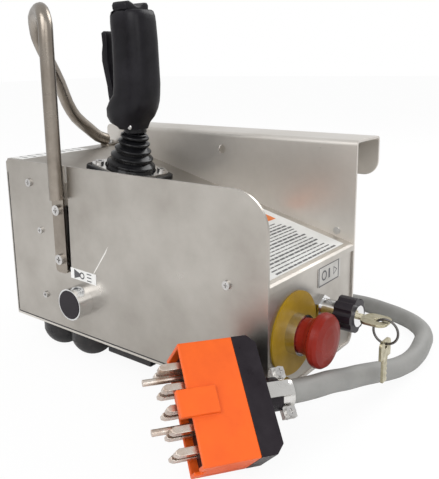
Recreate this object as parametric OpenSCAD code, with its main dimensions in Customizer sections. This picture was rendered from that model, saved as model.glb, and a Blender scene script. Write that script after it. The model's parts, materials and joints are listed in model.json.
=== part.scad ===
// Platform control box of a scissor lift: a folded steel casing that hooks on a guard rail,
// with a joystick, a horn button, an emergency stop, a key switch and a cable with its plug.
// The origin is on the floor under the middle of the casing. +X is the operator's end, +Y the rail.

/* [Casing] */
// Length of the casing, from the left end to the operator's end
body_l = 285; // [270:1:320]
// Depth of the casing, from the front plate to the back wall
body_w = 130; // [124:1:150]
// Height of the front plate
front_h = 150; // [140:1:165]
// Height of the operator's end, where the slope stops
end_h = 86; // [84:1:96]
// Height of the back wall
back_h = 170; // [165:1:190]
// Thickness of the folded sheets
sheet_t = 2; // [1.5:0.5:2.5]
// Length of the level strip at the left end of the deck
level_l = 22; // [20:1:26]
// Radius of the front plate's upper corner at the operator's end
corner_r = 28; // [15:1:35]
// Height of the slit in the front plate
slit_h = 93; // [60:1:100]
// Width of the slit at its open end
slit_w = 5; // [3:0.5:7]

/* [Rail hook] */
// Outer reach of the hook behind the back wall
hook_reach = 41; // [38:1:60]
// Height of the hook's lip
hook_lip_h = 34; // [20:1:45]
// Radius of the lip's lower corners
hook_corner_r = 13; // [5:1:15]
// Diameter of the bolt hole in the back wall
bolt_hole_d = 8; // [6:0.5:10]

/* [Feet] */
// Height of a rubber bumper, which is also the casing's height above the floor
foot_h = 24; // [18:1:30]
// Diameter of a rubber bumper
foot_d = 39; // [30:1:39]
// Thickness of the low pad between the bumpers
pad_t = 8.5; // [5:0.5:12]

/* [Handle] */
// Diameter of the handle tube
handle_d = 12; // [10:0.5:12]
// Length of the flattened end on the front plate
strap_h = 69; // [50:1:72]
// Thickness of a flattened end
strap_t = 2; // [1.5:0.5:5]

/* [Joystick] */
// Distance of the joystick from the left end
stick_from_left = 87.5; // [85:1:100]
// Side length of the square rubber boot
boot_side = 60; // [58:1:64]
// Side length of the bright retainer plate
retainer_side = 53; // [50:1:56]
// Height of the neck above the deck
neck_h = 44; // [42:1:48]
// Height of the grip
grip_h = 102; // [95:1:110]

/* [Horn button] */
// Distance of the horn button from the left end
horn_from_left = 96; // [90:1:110]
// Height of the horn button above the casing's bottom
horn_up = 34.5; // [25:0.5:38]
// Outer diameter of the bright cylinder
horn_d = 27.5; // [27:0.5:32]
// Length of the bright cylinder
horn_l = 15; // [13:1:20]

/* [Emergency stop] */
// Distance of the emergency stop from the front of the casing
stop_from_front = 36.5; // [34:1:40]
// Height of the emergency stop above the casing's bottom
stop_up = 41; // [36:1:45]
// Diameter of the yellow ring
stop_ring_d = 62; // [50:1:64]
// Diameter of the mushroom
stop_head_d = 40; // [36:1:42]
// Length of the mushroom in front of the end panel
stop_head_l = 29.5; // [28:0.5:32]
// Travel of the mushroom
stop_travel = 5; // [3:0.5:5]

/* [Key switch] */
// Distance of the key switch from the front of the casing
key_from_front = 77; // [76:1:85]
// Height of the key switch above the casing's bottom
key_up = 47.5; // [45:0.5:55]
// Outer diameter of the fluted bezel
key_bezel_d = 26; // [24:0.5:28]
// Outer diameter of the wire ring
key_ring_d = 20.2; // [18:0.2:24]
// Diameter of the ring's wire
key_wire_d = 1.8; // [1.2:0.2:2]

/* [Cable and plug] */
// Diameter of the cable
cable_d = 16; // [14:0.5:17]
// Height of the cable gland's axis above the casing's bottom
gland_up = 20; // [19:0.5:22]
// Distance of the cable gland from the left end
gland_from_left = 169; // [165:1:175]
// Long side of the plug
plug_long = 77; // [70:1:85]
// Depth of the plug's orange body
plug_deep = 37.5; // [34:0.5:44]
// Thickness of the plug
plug_thick = 32; // [29:0.5:33]
// Depth of the plug's black cap
plug_cap_deep = 16; // [12:0.5:20]

/* [Hidden] */

// Cuts run past the surfaces that they cut by this much
over = 1;
// Radial clearance of a shaft in a bore, and the gap between sliding faces
run_gap = 0.05;
slide_gap = 0.3;
round_fn = 64;
hull_fn = 32;

// Faces of the casing
left_x = -body_l / 2;
end_x = body_l / 2;
front_y = -body_w / 2;
back_y = body_w / 2;
floor_z = foot_h;
top_z = foot_h + front_h;
deck_t = 1.5;
deck_end_z = foot_h + end_h;
slope_l = body_l - level_l;
slope_a = atan((front_h - end_h) / slope_l);
inner_front_y = front_y + sheet_t;
inner_back_y = back_y - sheet_t;
inner_w = body_w - 2 * sheet_t;
// Outer face of the right end panel, behind the lip of the deck
face_x = end_x - deck_t;

function deck_z(x) = min(top_z, deck_end_z + (end_x - x) * tan(slope_a));

// Bends of the folded back sheet
base_bend_r = 8;
hook_bend_r = 4;
hook_y = back_y + hook_reach;
hook_z = foot_h + back_h;
lip_z = hook_z - hook_lip_h;
angle_h = 16;
angle_t = 1.5;
bolt_x = left_x + 152;
bolt_z = hook_z - 16;

// Seams of the front plate
seam = 0.3;
bottom_seam = 0.8;
notch_h = 12;
chamfer = 3;
slit_x = left_x + 82;
slit_end_w = 3;
deck_flange_h = 20;
deck_lip_h = 6;

// Cross-head screws of the panels: place along X from the left end, height above the bottom, head radius
panel_screw_r = 1.6;
panel_screw_l = 8;
panel_screw_head_h = 1.8;
panel_screws_at = [
    [33, front_h - 19, 3.6], [45, front_h - 61, 2.8],
    [46, 28.5, 2.8], [body_l - 34, end_h - 5, 3.2]
];
rivet_r = 1.8;
rivet_head_r = 3;
rivet_head_h = 1;
rivet_up = 5;
rivets_at = [end_x - 15.4, 0, left_x + 40];

// Handle: the tube's centreline
handle_r = handle_d / 2;
handle_x = left_x + 78;
handle_y = front_y - handle_r - slide_gap;
strap_x = left_x + 73;
strap_z = top_z - 95;
strap_w = 15;
strap_screw_r = 2.5;
strap_screw_head_r = 4.6;
strap_screw_head_h = 2.8;
strap_screw_end = 12.5;
strap_nut_t = 4;
foot_x = left_x + 11.5;
strap_foot_l = 16;
strap_foot_y = inner_back_y - strap_foot_l - slide_gap;
handle_top_z = top_z + 127;
function above(h_share) = top_z + h_share * (handle_top_z - top_z);
handle_route = [
    [handle_x, handle_y, strap_z + strap_h - strap_t],
    [handle_x, handle_y, above(0.08)],
    [handle_x + 0.5, handle_y, above(0.45)],
    [handle_x + 0.5, handle_y, above(0.78)],
    [handle_x - 0.5, handle_y + 1, above(0.9)],
    [handle_x - 5, handle_y + 3, above(0.965)],
    [handle_x - 14, handle_y + 8, above(1)],
    [handle_x - 26, handle_y + 14, above(0.995)],
    [handle_x - 39, handle_y + 21, above(0.965)],
    [handle_x - 48, handle_y + 28, above(0.91)],
    [foot_x + 10, handle_y + 36, above(0.84)],
    [foot_x + 6, handle_y + 44, above(0.755)],
    [foot_x + 3, handle_y + 53, above(0.66)],
    [foot_x + 1, handle_y + 64, above(0.52)],
    [foot_x, handle_y + 73, above(0.365)],
    [foot_x, handle_y + 83, above(0.25)],
    [foot_x, handle_y + 98, above(0.155)],
    [foot_x, handle_y + 110, above(0.085)],
    [foot_x, strap_foot_y + 3, top_z + handle_r + 0.4]
];
handle_ref = [0.87, 0.49, 0];
handle_sides = 16;
handle_steps = 2;

// Rubber bumpers and the pad between them
foot_r = foot_d / 2;
foot_flat_share = 0.04;
feet_out = body_l / 2 - 45;
feet_in = feet_out - foot_d;
feet_y = body_w / 2 - 20;
foot_screw_r = 3;
foot_screw_depth = 10;
foot_nut_r = 5.5;
foot_nut_t = 4;
// The pad takes this share of the gap between the inner bumpers
pad_share = 0.64;
pad_l = 2 * pad_share * (feet_in - foot_r);
pad_w = 26;
pad_x = 2.5;

// Joystick, in a frame that stands on the slope
stick_x = left_x + stick_from_left;
stick_y = 7;
stick_z = deck_z(stick_x);
deck_hole_r = 22;
pivot_z = -16;
housing_h = 42;
housing_l = 54;
housing_w = 48;
housing_wall = 4;
pin_r = 3;
hub_r = 8;
shaft_r = 5;
tail_r = 4;
tail_l = 14;
board_t = 1.6;
sensor_side = 25;
boot_plate_t = 4;
boot_corner_r = 6;
boot_wall = 1.5;
retainer_t = 2;
retainer_hole_r = 23.5;
retainer_pitch = 40;
retainer_screw_r = 2;
retainer_head_r = 3.8;
retainer_head_h = 2.4;
boot_h = neck_h - 4.6;
// Bellows: radius and height of each ridge as shares of the neck's height, from the base up
boot_root_r = 23;
neck_r = 11;
ridge_r = 1.2;
ridges = [[22, 0.22], [19.2, 0.375], [16.2, 0.53], [14.2, 0.68], [12.8, 0.81]];
valley_depth = 3.6;

// Grip, in an upright frame at the neck: half length, half width, shift along X, height share
grip_x = stick_x + neck_h * sin(slope_a) - 1;
grip_z = stick_z + neck_h * cos(slope_a) - 1.5;
grip_low = [[12, 12, -2, 0], [20.5, 15, -7.5, 0.07], [25, 17.5, -4, 0.18]];
grip_high = [[25, 17.5, -4, 0.18], [23, 17.5, 1.6, 0.40], [21.6, 16.8, 1.4, 0.75], [21.4, 16.5, 0, 0.96],
    [18.6, 14, 0, 1]];
slot_w = 15;
slot_low = 16;
slot_top = 87;
slot_floor_x = -17;
trigger_w = 14;
trigger_x = -21;
trigger_z = 22;
trigger_hub_r = 3.6;
trigger_pin_r = 1.5;
// The grip holds this length of each end of its pins
pin_seat = 2;
// Trigger outline in the grip's frame
trigger_outline = [
    [-31.6, 84.5], [-26, 85.5], [-24.8, 82], [-25.2, 62], [-22.6, 46], [-20.2, 36], [-17.6, 22],
    [-20, 18.6], [-24.4, 20], [-26.4, 30], [-27.2, 38], [-30.2, 50], [-32.4, 60], [-30.8, 72]
];
switch_size = [5, 8, 16];
switch_z = 46;
rocker_l = 17;
rocker_w = 28;
rocker_room = 1.3;
rocker_pin_z = grip_h - 5;
rocker_pin_r = 1.5;
rocker_hub_r = 3.6;
rocker_pocket_deep = 10.5;
grip_screw_r = 2.2;

// Horn button, in a frame on the front plate with its axis pointing out
horn_x = left_x + horn_from_left;
horn_z = foot_h + horn_up;
thread_r = 11;
thread_l = 20;
nut_t = 5;
nut_r = 15;
contact_side = 28;
contact_l = 22;
web_t = 2;
guide_r = 6;
horn_wall = 1.2;
horn_travel = 3.5;
horn_cap_t = 6;
horn_proud = 0.5;
horn_stem_l = thread_l - horn_travel - 1;
sticker_t = 0.3;
horn_label_size = [32, 9.6];
horn_label_up = 22;
horn_label_shift = -3;
horn_label_turn = -1.5;

// Emergency stop, in a frame on the end panel with its axis pointing out
stop_y = front_y + stop_from_front;
stop_z = foot_h + stop_up;
stop_ring_t = 1.5;
collar_r = 15;
collar_wall = 1.3;
collar_h = 9;
stop_neck_r = 13;
stop_neck_z = stop_ring_t + web_t + stop_travel + slide_gap;
plunger_end = 19.9;
plunger_tail = thread_l - stop_travel - 1;

// Key switch, in a frame on the end panel with its axis pointing out
key_y = front_y + key_from_front;
key_z = foot_h + key_up;
barrel_r = 7.5;
barrel_l = 16;
barrel_nut_r = 10.5;
barrel_nut_t = 3;
key_thread_r = 6;
key_thread_l = 16;
lock_r = 4.6;
bezel_l = 14;
flute_count = 8;
flute_r = 3.4;
flute_out = 2.1;
lock_face_r = 8;
lock_face_t = 1.4;
blade_w = 8;
blade_in = 1;
key_t = 2;
bow_w = 20;
bow_l = 20;
bow_from_face = 3;
hole_r = 3.2;
hole_from_end = 7.7;
key_contact_side = 24;
key_contact_l = 20;
wire_r = key_wire_d / 2;
ring_r = key_ring_d / 2 - wire_r;
bow_end = barrel_l + bezel_l + lock_face_t + bow_from_face + bow_l;
bow_strip = hole_from_end - hole_r;
ring_hang = sqrt(pow(ring_r - wire_r - slide_gap, 2) - pow(bow_strip / 2, 2)) - key_t / 2;
ring_x = face_x + bow_end - bow_strip / 2;
ring_z = key_z - ring_hang;
spare_hole_r = 2.4;
spare_bow_w = 17;
spare_bow_h = 14;
spare_blade_w = 7;
spare_blade_l = 19;
spare_hole_z = ring_z - ring_r - spare_hole_r + wire_r + slide_gap;

// Boards inside
bracket_t = 1.5;
bracket_edge = 7;
bracket_x = left_x + panel_screws_at[2].x + bracket_edge;
bracket_foot = 14;
bracket_z = floor_z + panel_screws_at[2].y - bracket_edge;
bracket_h = panel_screws_at[1].y - panel_screws_at[2].y + 2 * bracket_edge + 1;
bracket_l = 78;
standoff = 4;
standoff_r = 2.5;
board_l = 62;
board_h = 66;
strip_l = 50;
strip_h = 11;
strip_d = 10;

// Labels: start and end shares along the slope, and margins from the front and the back
label_t = 0.4;
slope_label_from = body_l - 86;
slope_label_to = body_l - 5;
slope_label_margin = 3;
slope_label_back = 9;
strip_label_w = 18;
strip_label_l = 78;
strip_label_margin = 3;
end_label_size = [36, 15];
end_label_y = key_y + 12;
end_label_up = 72;

// Cable gland, in a frame on the back wall with its axis pointing out
gland_x = left_x + gland_from_left;
gland_z = foot_h + gland_up;
gland_r = 12;
gland_hex_t = 6;
gland_dome_r = 11;
gland_l = 20;
gland_thread_r = 9;
gland_thread_l = 10;
gland_bore_r = 5.5;

// Plug: its lowest long corner on the side of the blades, and how it lies
plug_yaw = 61;
plug_lean = 44.4;
plug_dip = 3.5;
plug_x = end_x + 10.9;
plug_y = front_y - 84.6;
plug_z = plug_thick * sin(plug_lean) + 4;
plug_wall = 2.6;
plug_cavity = plug_deep - plug_wall;
plug_recess = 6;
cap_chamfer = 5.5;
blade_count = 5;
blade_pitch = 13;
blade_z = plug_long / 2 - 2 * blade_pitch;
blade_size = [19, 7.5, 4.6];
blade_rows = [0.3, 0.72];
blade_tip = 2.5;
blade_root = 6;
guide_pin_r = 2.2;
guide_l = 29;
guide_places = [1.2, 3.6];
rib_size = [26, 3, 17];
rib_out = 8;
cable_r = cable_d / 2;
boss_r = 11;
boss_l = 12;
boss_up = plug_long / 2 + 1;
boss_gap = 0.3;
clamp_l = 9;
clamp_wall = 1.6;
ear_w = 7;
ear_t = 2.6;
clamp_screw_r = 2;
clamp_head_r = 3.4;
clamp_head_h = 2.6;
tab_w = 10;
tab_t = 2;

// Cable route, from the plug's cap round to the gland
cable_sides = 12;
cable_points = [
    [148.54, -82.64, 41.02], [161.05, -62.18, 39.98], [166.8, -46, 38], [171, -28, 35.5], [174, -10, 31],
    [176.5, 8, 27], [179.5, 28, 22], [182, 50, 16], [183.5, 72, 11], [184, 96, 8], [181, 124, 8],
    [173.5, 150, 8], [160, 167, 8], [143, 177, 8], [124, 183, 8], [104, 187, 8], [84, 186, 8],
    [63, 180, 9.5], [45, 168, 14], [34, 151, 22], [28, 131, 32], [26.5, 113, 40], [26.5, 97, 44],
    [26.5, 85, 44]
];

steel = [0.72, 0.70, 0.68];
bright = [0.80, 0.80, 0.79];
rubber = [0.13, 0.13, 0.14];
grip_black = [0.17, 0.17, 0.19];
dark = [0.20, 0.18, 0.20];
orange = [0.94, 0.45, 0.18];
red = [0.79, 0.22, 0.18];
yellow = [0.68, 0.58, 0.12];
grey = [0.51, 0.51, 0.49];
green = [0.10, 0.38, 0.22];
white = [0.90, 0.90, 0.88];
brass = [0.75, 0.58, 0.30];

// A tube swept along a list of points: ring k lies square to the route at point k
function unit(v) = v / norm(v);
function heading(p, k) = unit(p[min(k + 1, len(p) - 1)] - p[max(k - 1, 0)]);
function ring_at(p, k, r, sides, ref) =
    let (t = heading(p, k), a = unit(ref - (ref * t) * t), b = cross(t, a))
    [for (i = [0 : sides - 1]) p[k] + r * (cos(i * 360 / sides) * a + sin(i * 360 / sides) * b)];
function curve(p, steps) = [
    for (k = [0 : len(p) - 2], i = [0 : steps - 1])
    let (u = i / steps, a = p[max(k - 1, 0)], b = p[k], c = p[k + 1], d = p[min(k + 2, len(p) - 1)])
    0.5 * (2 * b + (c - a) * u + (2 * a - 5 * b + 4 * c - d) * u * u + (3 * b - a - 3 * c + d) * u * u * u),
    p[len(p) - 1]
];

module swept_tube(p, r, sides, ref) {
    n = len(p);
    points = [for (k = [0 : n - 1]) each ring_at(p, k, r, sides, ref)];
    sides_of_tube = [
        for (k = [0 : n - 2], i = [0 : sides - 1])
        let (a = k * sides + i, b = k * sides + (i + 1) % sides)
        each [[a, a + sides, b], [b, a + sides, b + sides]]
    ];
    start_cap = [for (i = [1 : sides - 2]) [0, i, i + 1]];
    last = (n - 1) * sides;
    end_cap = [for (i = [1 : sides - 2]) [last, last + i + 1, last + i]];
    polyhedron(points, concat(sides_of_tube, start_cap, end_cap));
}

// Small shapes
module box(size, at) translate(at) cube(size);
module rod(r, from, to) translate([0, 0, from]) cylinder(r = r, h = to - from, $fn = round_fn);
module hex(r, from, to) translate([0, 0, from]) cylinder(r = r, h = to - from, $fn = 6);
module along_x() rotate([90, 0, 90]) children();
module along_y() rotate([90, 0, 0]) children();
module rounded_square(side, r) {
    straight = side / 2 - r;
    union() {
        square([side, 2 * straight], center = true);
        square([2 * straight, side], center = true);
        for (x = [-straight, straight], y = [-straight, straight])
            translate([x, y]) circle(r, $fn = hull_fn);
    }
}

// A quarter bend of sheet in the plane, centred on the origin, for the quarter that qx and qy name
module bend(r, t, qx, qy) {
    intersection() {
        difference() {
            circle(r, $fn = round_fn);
            circle(r - t, $fn = round_fn);
        }
        translate([qx > 0 ? 0 : -r, qy > 0 ? 0 : -r]) square(r);
    }
}

// Frames in which the controls are drawn
module on_front(x, z) translate([x, front_y, z]) rotate([90, 0, 0]) children();
module on_end(y, z) translate([face_x, y, z]) rotate([0, 90, 0]) children();
module on_back(x, z) translate([x, back_y, z]) rotate([-90, 0, 0]) children();
module on_slope() translate([stick_x, stick_y, stick_z]) rotate([0, slope_a, 0]) children();
module at_grip() translate([grip_x, stick_y, grip_z]) children();
module at_plug() translate([plug_x, plug_y, plug_z]) rotate([0, 0, plug_yaw]) rotate([-plug_lean, 0, 0])
    rotate([0, plug_dip, 0]) children();

// Casing

// One folded sheet makes the base, the back wall and the rail hook. Its flats and bends are nodes of their own,
// which meet face to face, so that each takes a hull that leaves the casing and the hook open.
module folded() translate([left_x, 0, 0]) along_x() linear_extrude(body_l) children();

module base_sheet() {
    color(steel) difference() {
        folded() translate([front_y, floor_z]) square([body_w - base_bend_r, sheet_t]);
        for (p = foot_places()) translate([p.x, p.y, 0]) rod(foot_screw_r, floor_z - over, floor_z + sheet_t + over);
    }
}

module base_bend() color(steel) folded()
    translate([back_y - base_bend_r, floor_z + base_bend_r]) bend(base_bend_r, sheet_t, 1, -1);

module back_wall() {
    color(steel) difference() {
        folded() translate([inner_back_y, floor_z + base_bend_r])
            square([sheet_t, back_h - base_bend_r - hook_bend_r]);
        translate([bolt_x, inner_back_y - over, bolt_z]) rotate([-90, 0, 0])
            rod(bolt_hole_d / 2, 0, sheet_t + 2 * over);
        on_back(gland_x, gland_z) rod(gland_thread_r, -sheet_t - over, over);
        for (x = rivets_at) if (x != 0) on_back(x, rivet_z(x)) rod(rivet_r, -sheet_t - over, over);
    }
}

module hook_top() {
    hook_run = hook_reach + sheet_t - 2 * hook_bend_r;
    color(steel) folded() {
        translate([inner_back_y + hook_bend_r, hook_z - hook_bend_r]) bend(hook_bend_r, sheet_t, -1, 1);
        translate([inner_back_y + hook_bend_r, hook_z - sheet_t]) square([hook_run, sheet_t]);
        translate([hook_y - hook_bend_r, hook_z - hook_bend_r]) bend(hook_bend_r, sheet_t, 1, 1);
    }
}

module hook_lip() color(steel) translate([0, hook_y, 0]) along_y() linear_extrude(sheet_t) lip_outline();

// Strip welded to the base behind the front plate, which the plate's screws go into
module front_angle() color(steel) box([face_x - left_x - 2 * sheet_t - 2 * seam, angle_t, angle_h - sheet_t],
    [left_x + sheet_t + seam, inner_front_y, floor_z + sheet_t]);

module lip_outline() {
    flat_l = body_l - 2 * hook_corner_r;
    translate([left_x, lip_z + hook_corner_r])
        square([body_l, hook_lip_h - hook_bend_r - hook_corner_r]);
    translate([left_x + hook_corner_r, lip_z]) square([flat_l, hook_corner_r]);
    for (x = [left_x + hook_corner_r, end_x - hook_corner_r])
        translate([x, lip_z + hook_corner_r]) circle(hook_corner_r, $fn = round_fn);
}

function rivet_z(x) = deck_z(x) + rivet_up;
function foot_places() = [
    for (x = [-feet_out, -feet_in, feet_in, feet_out], y = [-feet_y, feet_y]) [x, y]
];

module panel_screw_hole(p)
    on_front(left_x + p.x, floor_z + p.y) rod(panel_screw_r, -panel_screw_l, over);

// Front plate with its slit, rounded corner, chamfer and the notch over the left panel's edge
module front_plate() {
    low = floor_z + sheet_t + bottom_seam;
    side = left_x + sheet_t + seam;
    color(steel) difference() {
        translate([0, inner_front_y, 0]) along_y() linear_extrude(sheet_t) difference() {
            union() {
                polygon([
                    [side, low], [end_x, low], [end_x, top_z - corner_r], [end_x - corner_r, top_z],
                    [left_x + chamfer, top_z], [left_x, top_z - chamfer], [left_x, top_z - notch_h],
                    [side, top_z - notch_h]
                ]);
                translate([end_x - corner_r, top_z - corner_r]) circle(corner_r, $fn = round_fn);
            }
            polygon([
                [slit_x - slit_end_w / 2, top_z - slit_h], [slit_x + slit_end_w / 2, top_z - slit_h],
                [slit_x + slit_w - slit_end_w / 2, top_z + over], [slit_x - slit_end_w / 2, top_z + over]
            ]);
        }
        on_front(horn_x, horn_z) rod(thread_r, -sheet_t - over, over);
        for (p = panel_screws_at) panel_screw_hole(p);
        for (z = strap_screw_heights()) on_front(strap_x, z) rod(strap_screw_r, -sheet_t - over, over);
    }
}

// Left end panel, whose front edge shows beside the front plate
module left_end_panel() {
    inner_r = base_bend_r - sheet_t + seam;
    color(steel) translate([left_x, 0, 0]) along_x() linear_extrude(sheet_t) union() {
        polygon([
            [front_y, floor_z + sheet_t], [inner_back_y - inner_r, floor_z + sheet_t],
            [inner_back_y, floor_z + sheet_t + inner_r], [inner_back_y, top_z - deck_t],
            [inner_front_y, top_z - deck_t], [inner_front_y, top_z - notch_h - seam],
            [front_y, top_z - notch_h - seam]
        ]);
        translate([inner_back_y - inner_r, floor_z + sheet_t + inner_r]) circle(inner_r, $fn = round_fn);
    }
}

// Right end panel, which carries the emergency stop and the key switch
module right_end_panel() {
    inner_r = base_bend_r - sheet_t + seam;
    panel_top = deck_z(face_x) - deck_t / cos(slope_a);
    color(steel) difference() {
        translate([face_x - sheet_t, 0, 0]) along_x() linear_extrude(sheet_t) union() {
            polygon([
                [inner_front_y, floor_z + sheet_t], [inner_back_y - inner_r, floor_z + sheet_t],
                [inner_back_y, floor_z + sheet_t + inner_r], [inner_back_y, panel_top],
                [inner_front_y, panel_top]
            ]);
            translate([inner_back_y - inner_r, floor_z + sheet_t + inner_r]) circle(inner_r, $fn = round_fn);
        }
        on_end(stop_y, stop_z) rod(thread_r, -sheet_t - over, over);
        on_end(key_y, key_z) rod(key_thread_r, -sheet_t - over, over);
    }
}

// Deck: level strip, slope and lip, with a flange folded down along the front and the back
module deck_panel() {
    bend_x = left_x + level_l;
    skin = deck_t / cos(slope_a);
    lip_top = deck_z(face_x);
    color(steel) difference() {
        union() {
            translate([0, inner_back_y, 0]) along_y() linear_extrude(inner_w) polygon([
                [left_x, top_z], [bend_x, top_z], [face_x, lip_top], [end_x, lip_top - deck_t],
                [end_x, lip_top - deck_lip_h], [face_x, lip_top - deck_lip_h],
                [face_x, lip_top - skin], [bend_x, top_z - skin], [bend_x, top_z - deck_t],
                [left_x, top_z - deck_t]
            ]);
            for (y = [inner_front_y, inner_back_y - deck_t]) translate([0, y + deck_t, 0])
                along_y() linear_extrude(deck_t) polygon([
                    [left_x + sheet_t, top_z - deck_t], [bend_x, top_z - deck_t],
                    [face_x - sheet_t, deck_z(face_x - sheet_t) - skin],
                    [face_x - sheet_t, deck_z(face_x - sheet_t) - deck_flange_h],
                    [bend_x, top_z - deck_flange_h], [left_x + sheet_t, top_z - deck_flange_h]
                ]);
        }
        on_slope() rod(deck_hole_r, -deck_t - over, over);
        on_slope() retainer_places() rod(retainer_screw_r, -deck_t - over, over);
        for (p = panel_screws_at) panel_screw_hole(p);
        for (x = rivets_at) if (x == 0) on_back(x, rivet_z(x)) rod(rivet_r, 0, over);
        translate([foot_x, strap_foot_y + strap_foot_l / 2, 0])
            rod(strap_screw_r, top_z - deck_t - over, top_z + over);
    }
}

// Cross-head screws of the front plate
module panel_screws() {
    color(bright) for (p = panel_screws_at) on_front(left_x + p.x, floor_z + p.y) difference() {
        union() {
            rod(panel_screw_r, -panel_screw_l, 0);
            rod(p.z, 0, panel_screw_head_h);
        }
        cross_slot(p.z, panel_screw_head_h);
    }
}

module cross_slot(r, h) {
    slot_w = r / 4;
    slot_l = r * 1.1;
    for (turn = [0, 90]) rotate([0, 0, turn])
        box([slot_l, slot_w, h], [-slot_l / 2, -slot_w / 2, h / 2]);
}

// Rivets that tie the back wall to the folded flange of the deck
module back_rivets() {
    color(bright) for (x = rivets_at) if (x != 0) translate([x, inner_back_y, rivet_z(x)]) rotate([90, 0, 0]) {
        rod(rivet_r, -sheet_t, 0);
        rod(rivet_head_r, 0, rivet_head_h);
    }
}

// Handle: a bent tube with one flattened end on the front plate and one on the deck
function strap_screw_heights() = [strap_z + strap_screw_end, strap_z + strap_h - strap_screw_end];

module handle() {
    color(steel) difference() {
        union() {
            swept_tube(curve(handle_route, handle_steps), handle_r, handle_sides, handle_ref);
            translate([strap_x, front_y, strap_z]) along_y() linear_extrude(strap_t) strap_outline(strap_h);
            translate([foot_x, strap_foot_y, top_z]) linear_extrude(strap_t) strap_outline(strap_foot_l);
        }
        for (z = strap_screw_heights()) on_front(strap_x, z) rod(strap_screw_r, -over, strap_t + over);
        translate([foot_x, strap_foot_y + strap_foot_l / 2, 0])
            rod(strap_screw_r, top_z - over, top_z + strap_t + over);
    }
}

module strap_outline(l) {
    corner = strap_w / 4;
    translate([-strap_w / 2, corner]) square([strap_w, l - 2 * corner]);
    translate([-strap_w / 2 + corner, 0]) square([strap_w - 2 * corner, l]);
    for (x = [-1, 1], y = [corner, l - corner])
        translate([x * (strap_w / 2 - corner), y]) circle(corner, $fn = hull_fn);
}

module handle_screws() {
    color(bright) {
        for (z = strap_screw_heights()) on_front(strap_x, z) strap_screw(sheet_t);
        translate([foot_x, strap_foot_y + strap_foot_l / 2, top_z]) strap_screw(deck_t);
    }
}

// Screw through a flattened end and the sheet under it, with its nut
module strap_screw(wall) {
    difference() {
        union() {
            rod(strap_screw_r, -wall - strap_nut_t, strap_t);
            rod(strap_screw_head_r, strap_t, strap_t + strap_screw_head_h);
            hex(strap_screw_head_r, -wall - strap_nut_t, -wall);
        }
        translate([0, 0, strap_t]) cross_slot(strap_screw_head_r, strap_screw_head_h);
    }
}

// Feet

module rubber_feet() {
    ball_r = (foot_r * foot_r + foot_h * foot_h) / (2 * foot_h);
    sink = foot_h * foot_flat_share;
    color(rubber) for (p = foot_places()) translate([p.x, p.y, 0]) difference() {
        intersection() {
            translate([0, 0, ball_r - sink]) sphere(ball_r, $fn = round_fn);
            rod(foot_r, 0, foot_h);
        }
        rod(foot_screw_r, foot_h - foot_screw_depth, foot_h + over);
    }
}

module foot_screws() {
    inside = floor_z + sheet_t;
    color(bright) for (p = foot_places()) translate([p.x, p.y, 0]) {
        rod(foot_screw_r, foot_h - foot_screw_depth, inside + foot_nut_t);
        hex(foot_nut_r, inside, inside + foot_nut_t);
    }
}

module middle_pad() {
    color(rubber) translate([pad_x - pad_l / 2, front_y + pad_w / 6, floor_z - pad_t])
        cube([pad_l, pad_w, pad_t]);
}

// Joystick

module retainer_places() {
    for (x = [-1, 1], y = [-1, 1]) translate([x * retainer_pitch / 2, y * retainer_pitch / 2, 0]) children();
}

// Housing under the deck, with the bore for the pivot pin
module joystick_housing() {
    top = -deck_t;
    inner_l = housing_l - 2 * housing_wall;
    inner_w_here = housing_w - 2 * housing_wall;
    color(dark) on_slope() difference() {
        box([housing_l, housing_w, housing_h], [-housing_l / 2, -housing_w / 2, top - housing_h]);
        box([inner_l, inner_w_here, housing_h], [-inner_l / 2, -inner_w_here / 2, top - housing_h + housing_wall]);
        translate([0, 0, pivot_z]) rotate([90, 0, 0]) rod(pin_r, -housing_w, housing_w);
        retainer_places() rod(retainer_screw_r, top - housing_wall, top + over);
    }
}

module joystick_pin() {
    color(bright) on_slope() translate([0, 0, pivot_z]) rotate([90, 0, 0]) rod(pin_r, -housing_w / 2, housing_w / 2);
}

// Position sensor board on the housing's wall, at the end of the pivot pin
module sensor_board() {
    color(green) on_slope()
        box([sensor_side, board_t, sensor_side], [-sensor_side / 2, housing_w / 2, pivot_z - sensor_side / 2]);
}

// Rubber boot: square plate and bellows, hollow
module boot() {
    color(rubber) on_slope() difference() {
        union() {
            linear_extrude(boot_plate_t) rounded_square(boot_side, boot_corner_r);
            rotate_extrude($fn = round_fn) bellows(0);
            for (ridge = ridges) translate([0, 0, ridge.y * neck_h]) rotate_extrude($fn = round_fn)
                translate([ridge.x - ridge_r, 0]) circle(ridge_r, $fn = hull_fn);
        }
        rotate_extrude($fn = round_fn) bellows(boot_wall);
        rod(shaft_r + slide_gap, 0, neck_h);
        retainer_places() rod(retainer_screw_r, -over, boot_plate_t + over);
    }
}

// Half outline of the bellows, drawn in by the wall on the inside
module bellows(wall) {
    steps = [for (k = [0 : len(ridges) - 1]) let (
        h = ridges[k].y * neck_h,
        next = k + 1 < len(ridges) ? ridges[k + 1].y * neck_h : boot_h,
        r = ridges[k].x - ridge_r)
        each [[r - wall, h], [r - valley_depth - wall + ridge_r, (h + next) / 2]]];
    polygon(concat(
        [[0, wall > 0 ? -over : 0], [boot_root_r - wall, wall > 0 ? -over : 0]],
        steps,
        [[neck_r - 2 * wall, boot_h - wall], [0, boot_h - wall]]
    ));
}

module boot_retainer() {
    color(bright) on_slope() difference() {
        translate([0, 0, boot_plate_t]) linear_extrude(retainer_t) rounded_square(retainer_side, boot_corner_r);
        rod(retainer_hole_r, boot_plate_t - over, boot_plate_t + retainer_t + over);
        retainer_places() rod(retainer_screw_r, boot_plate_t - over, boot_plate_t + retainer_t + over);
    }
}

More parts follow.
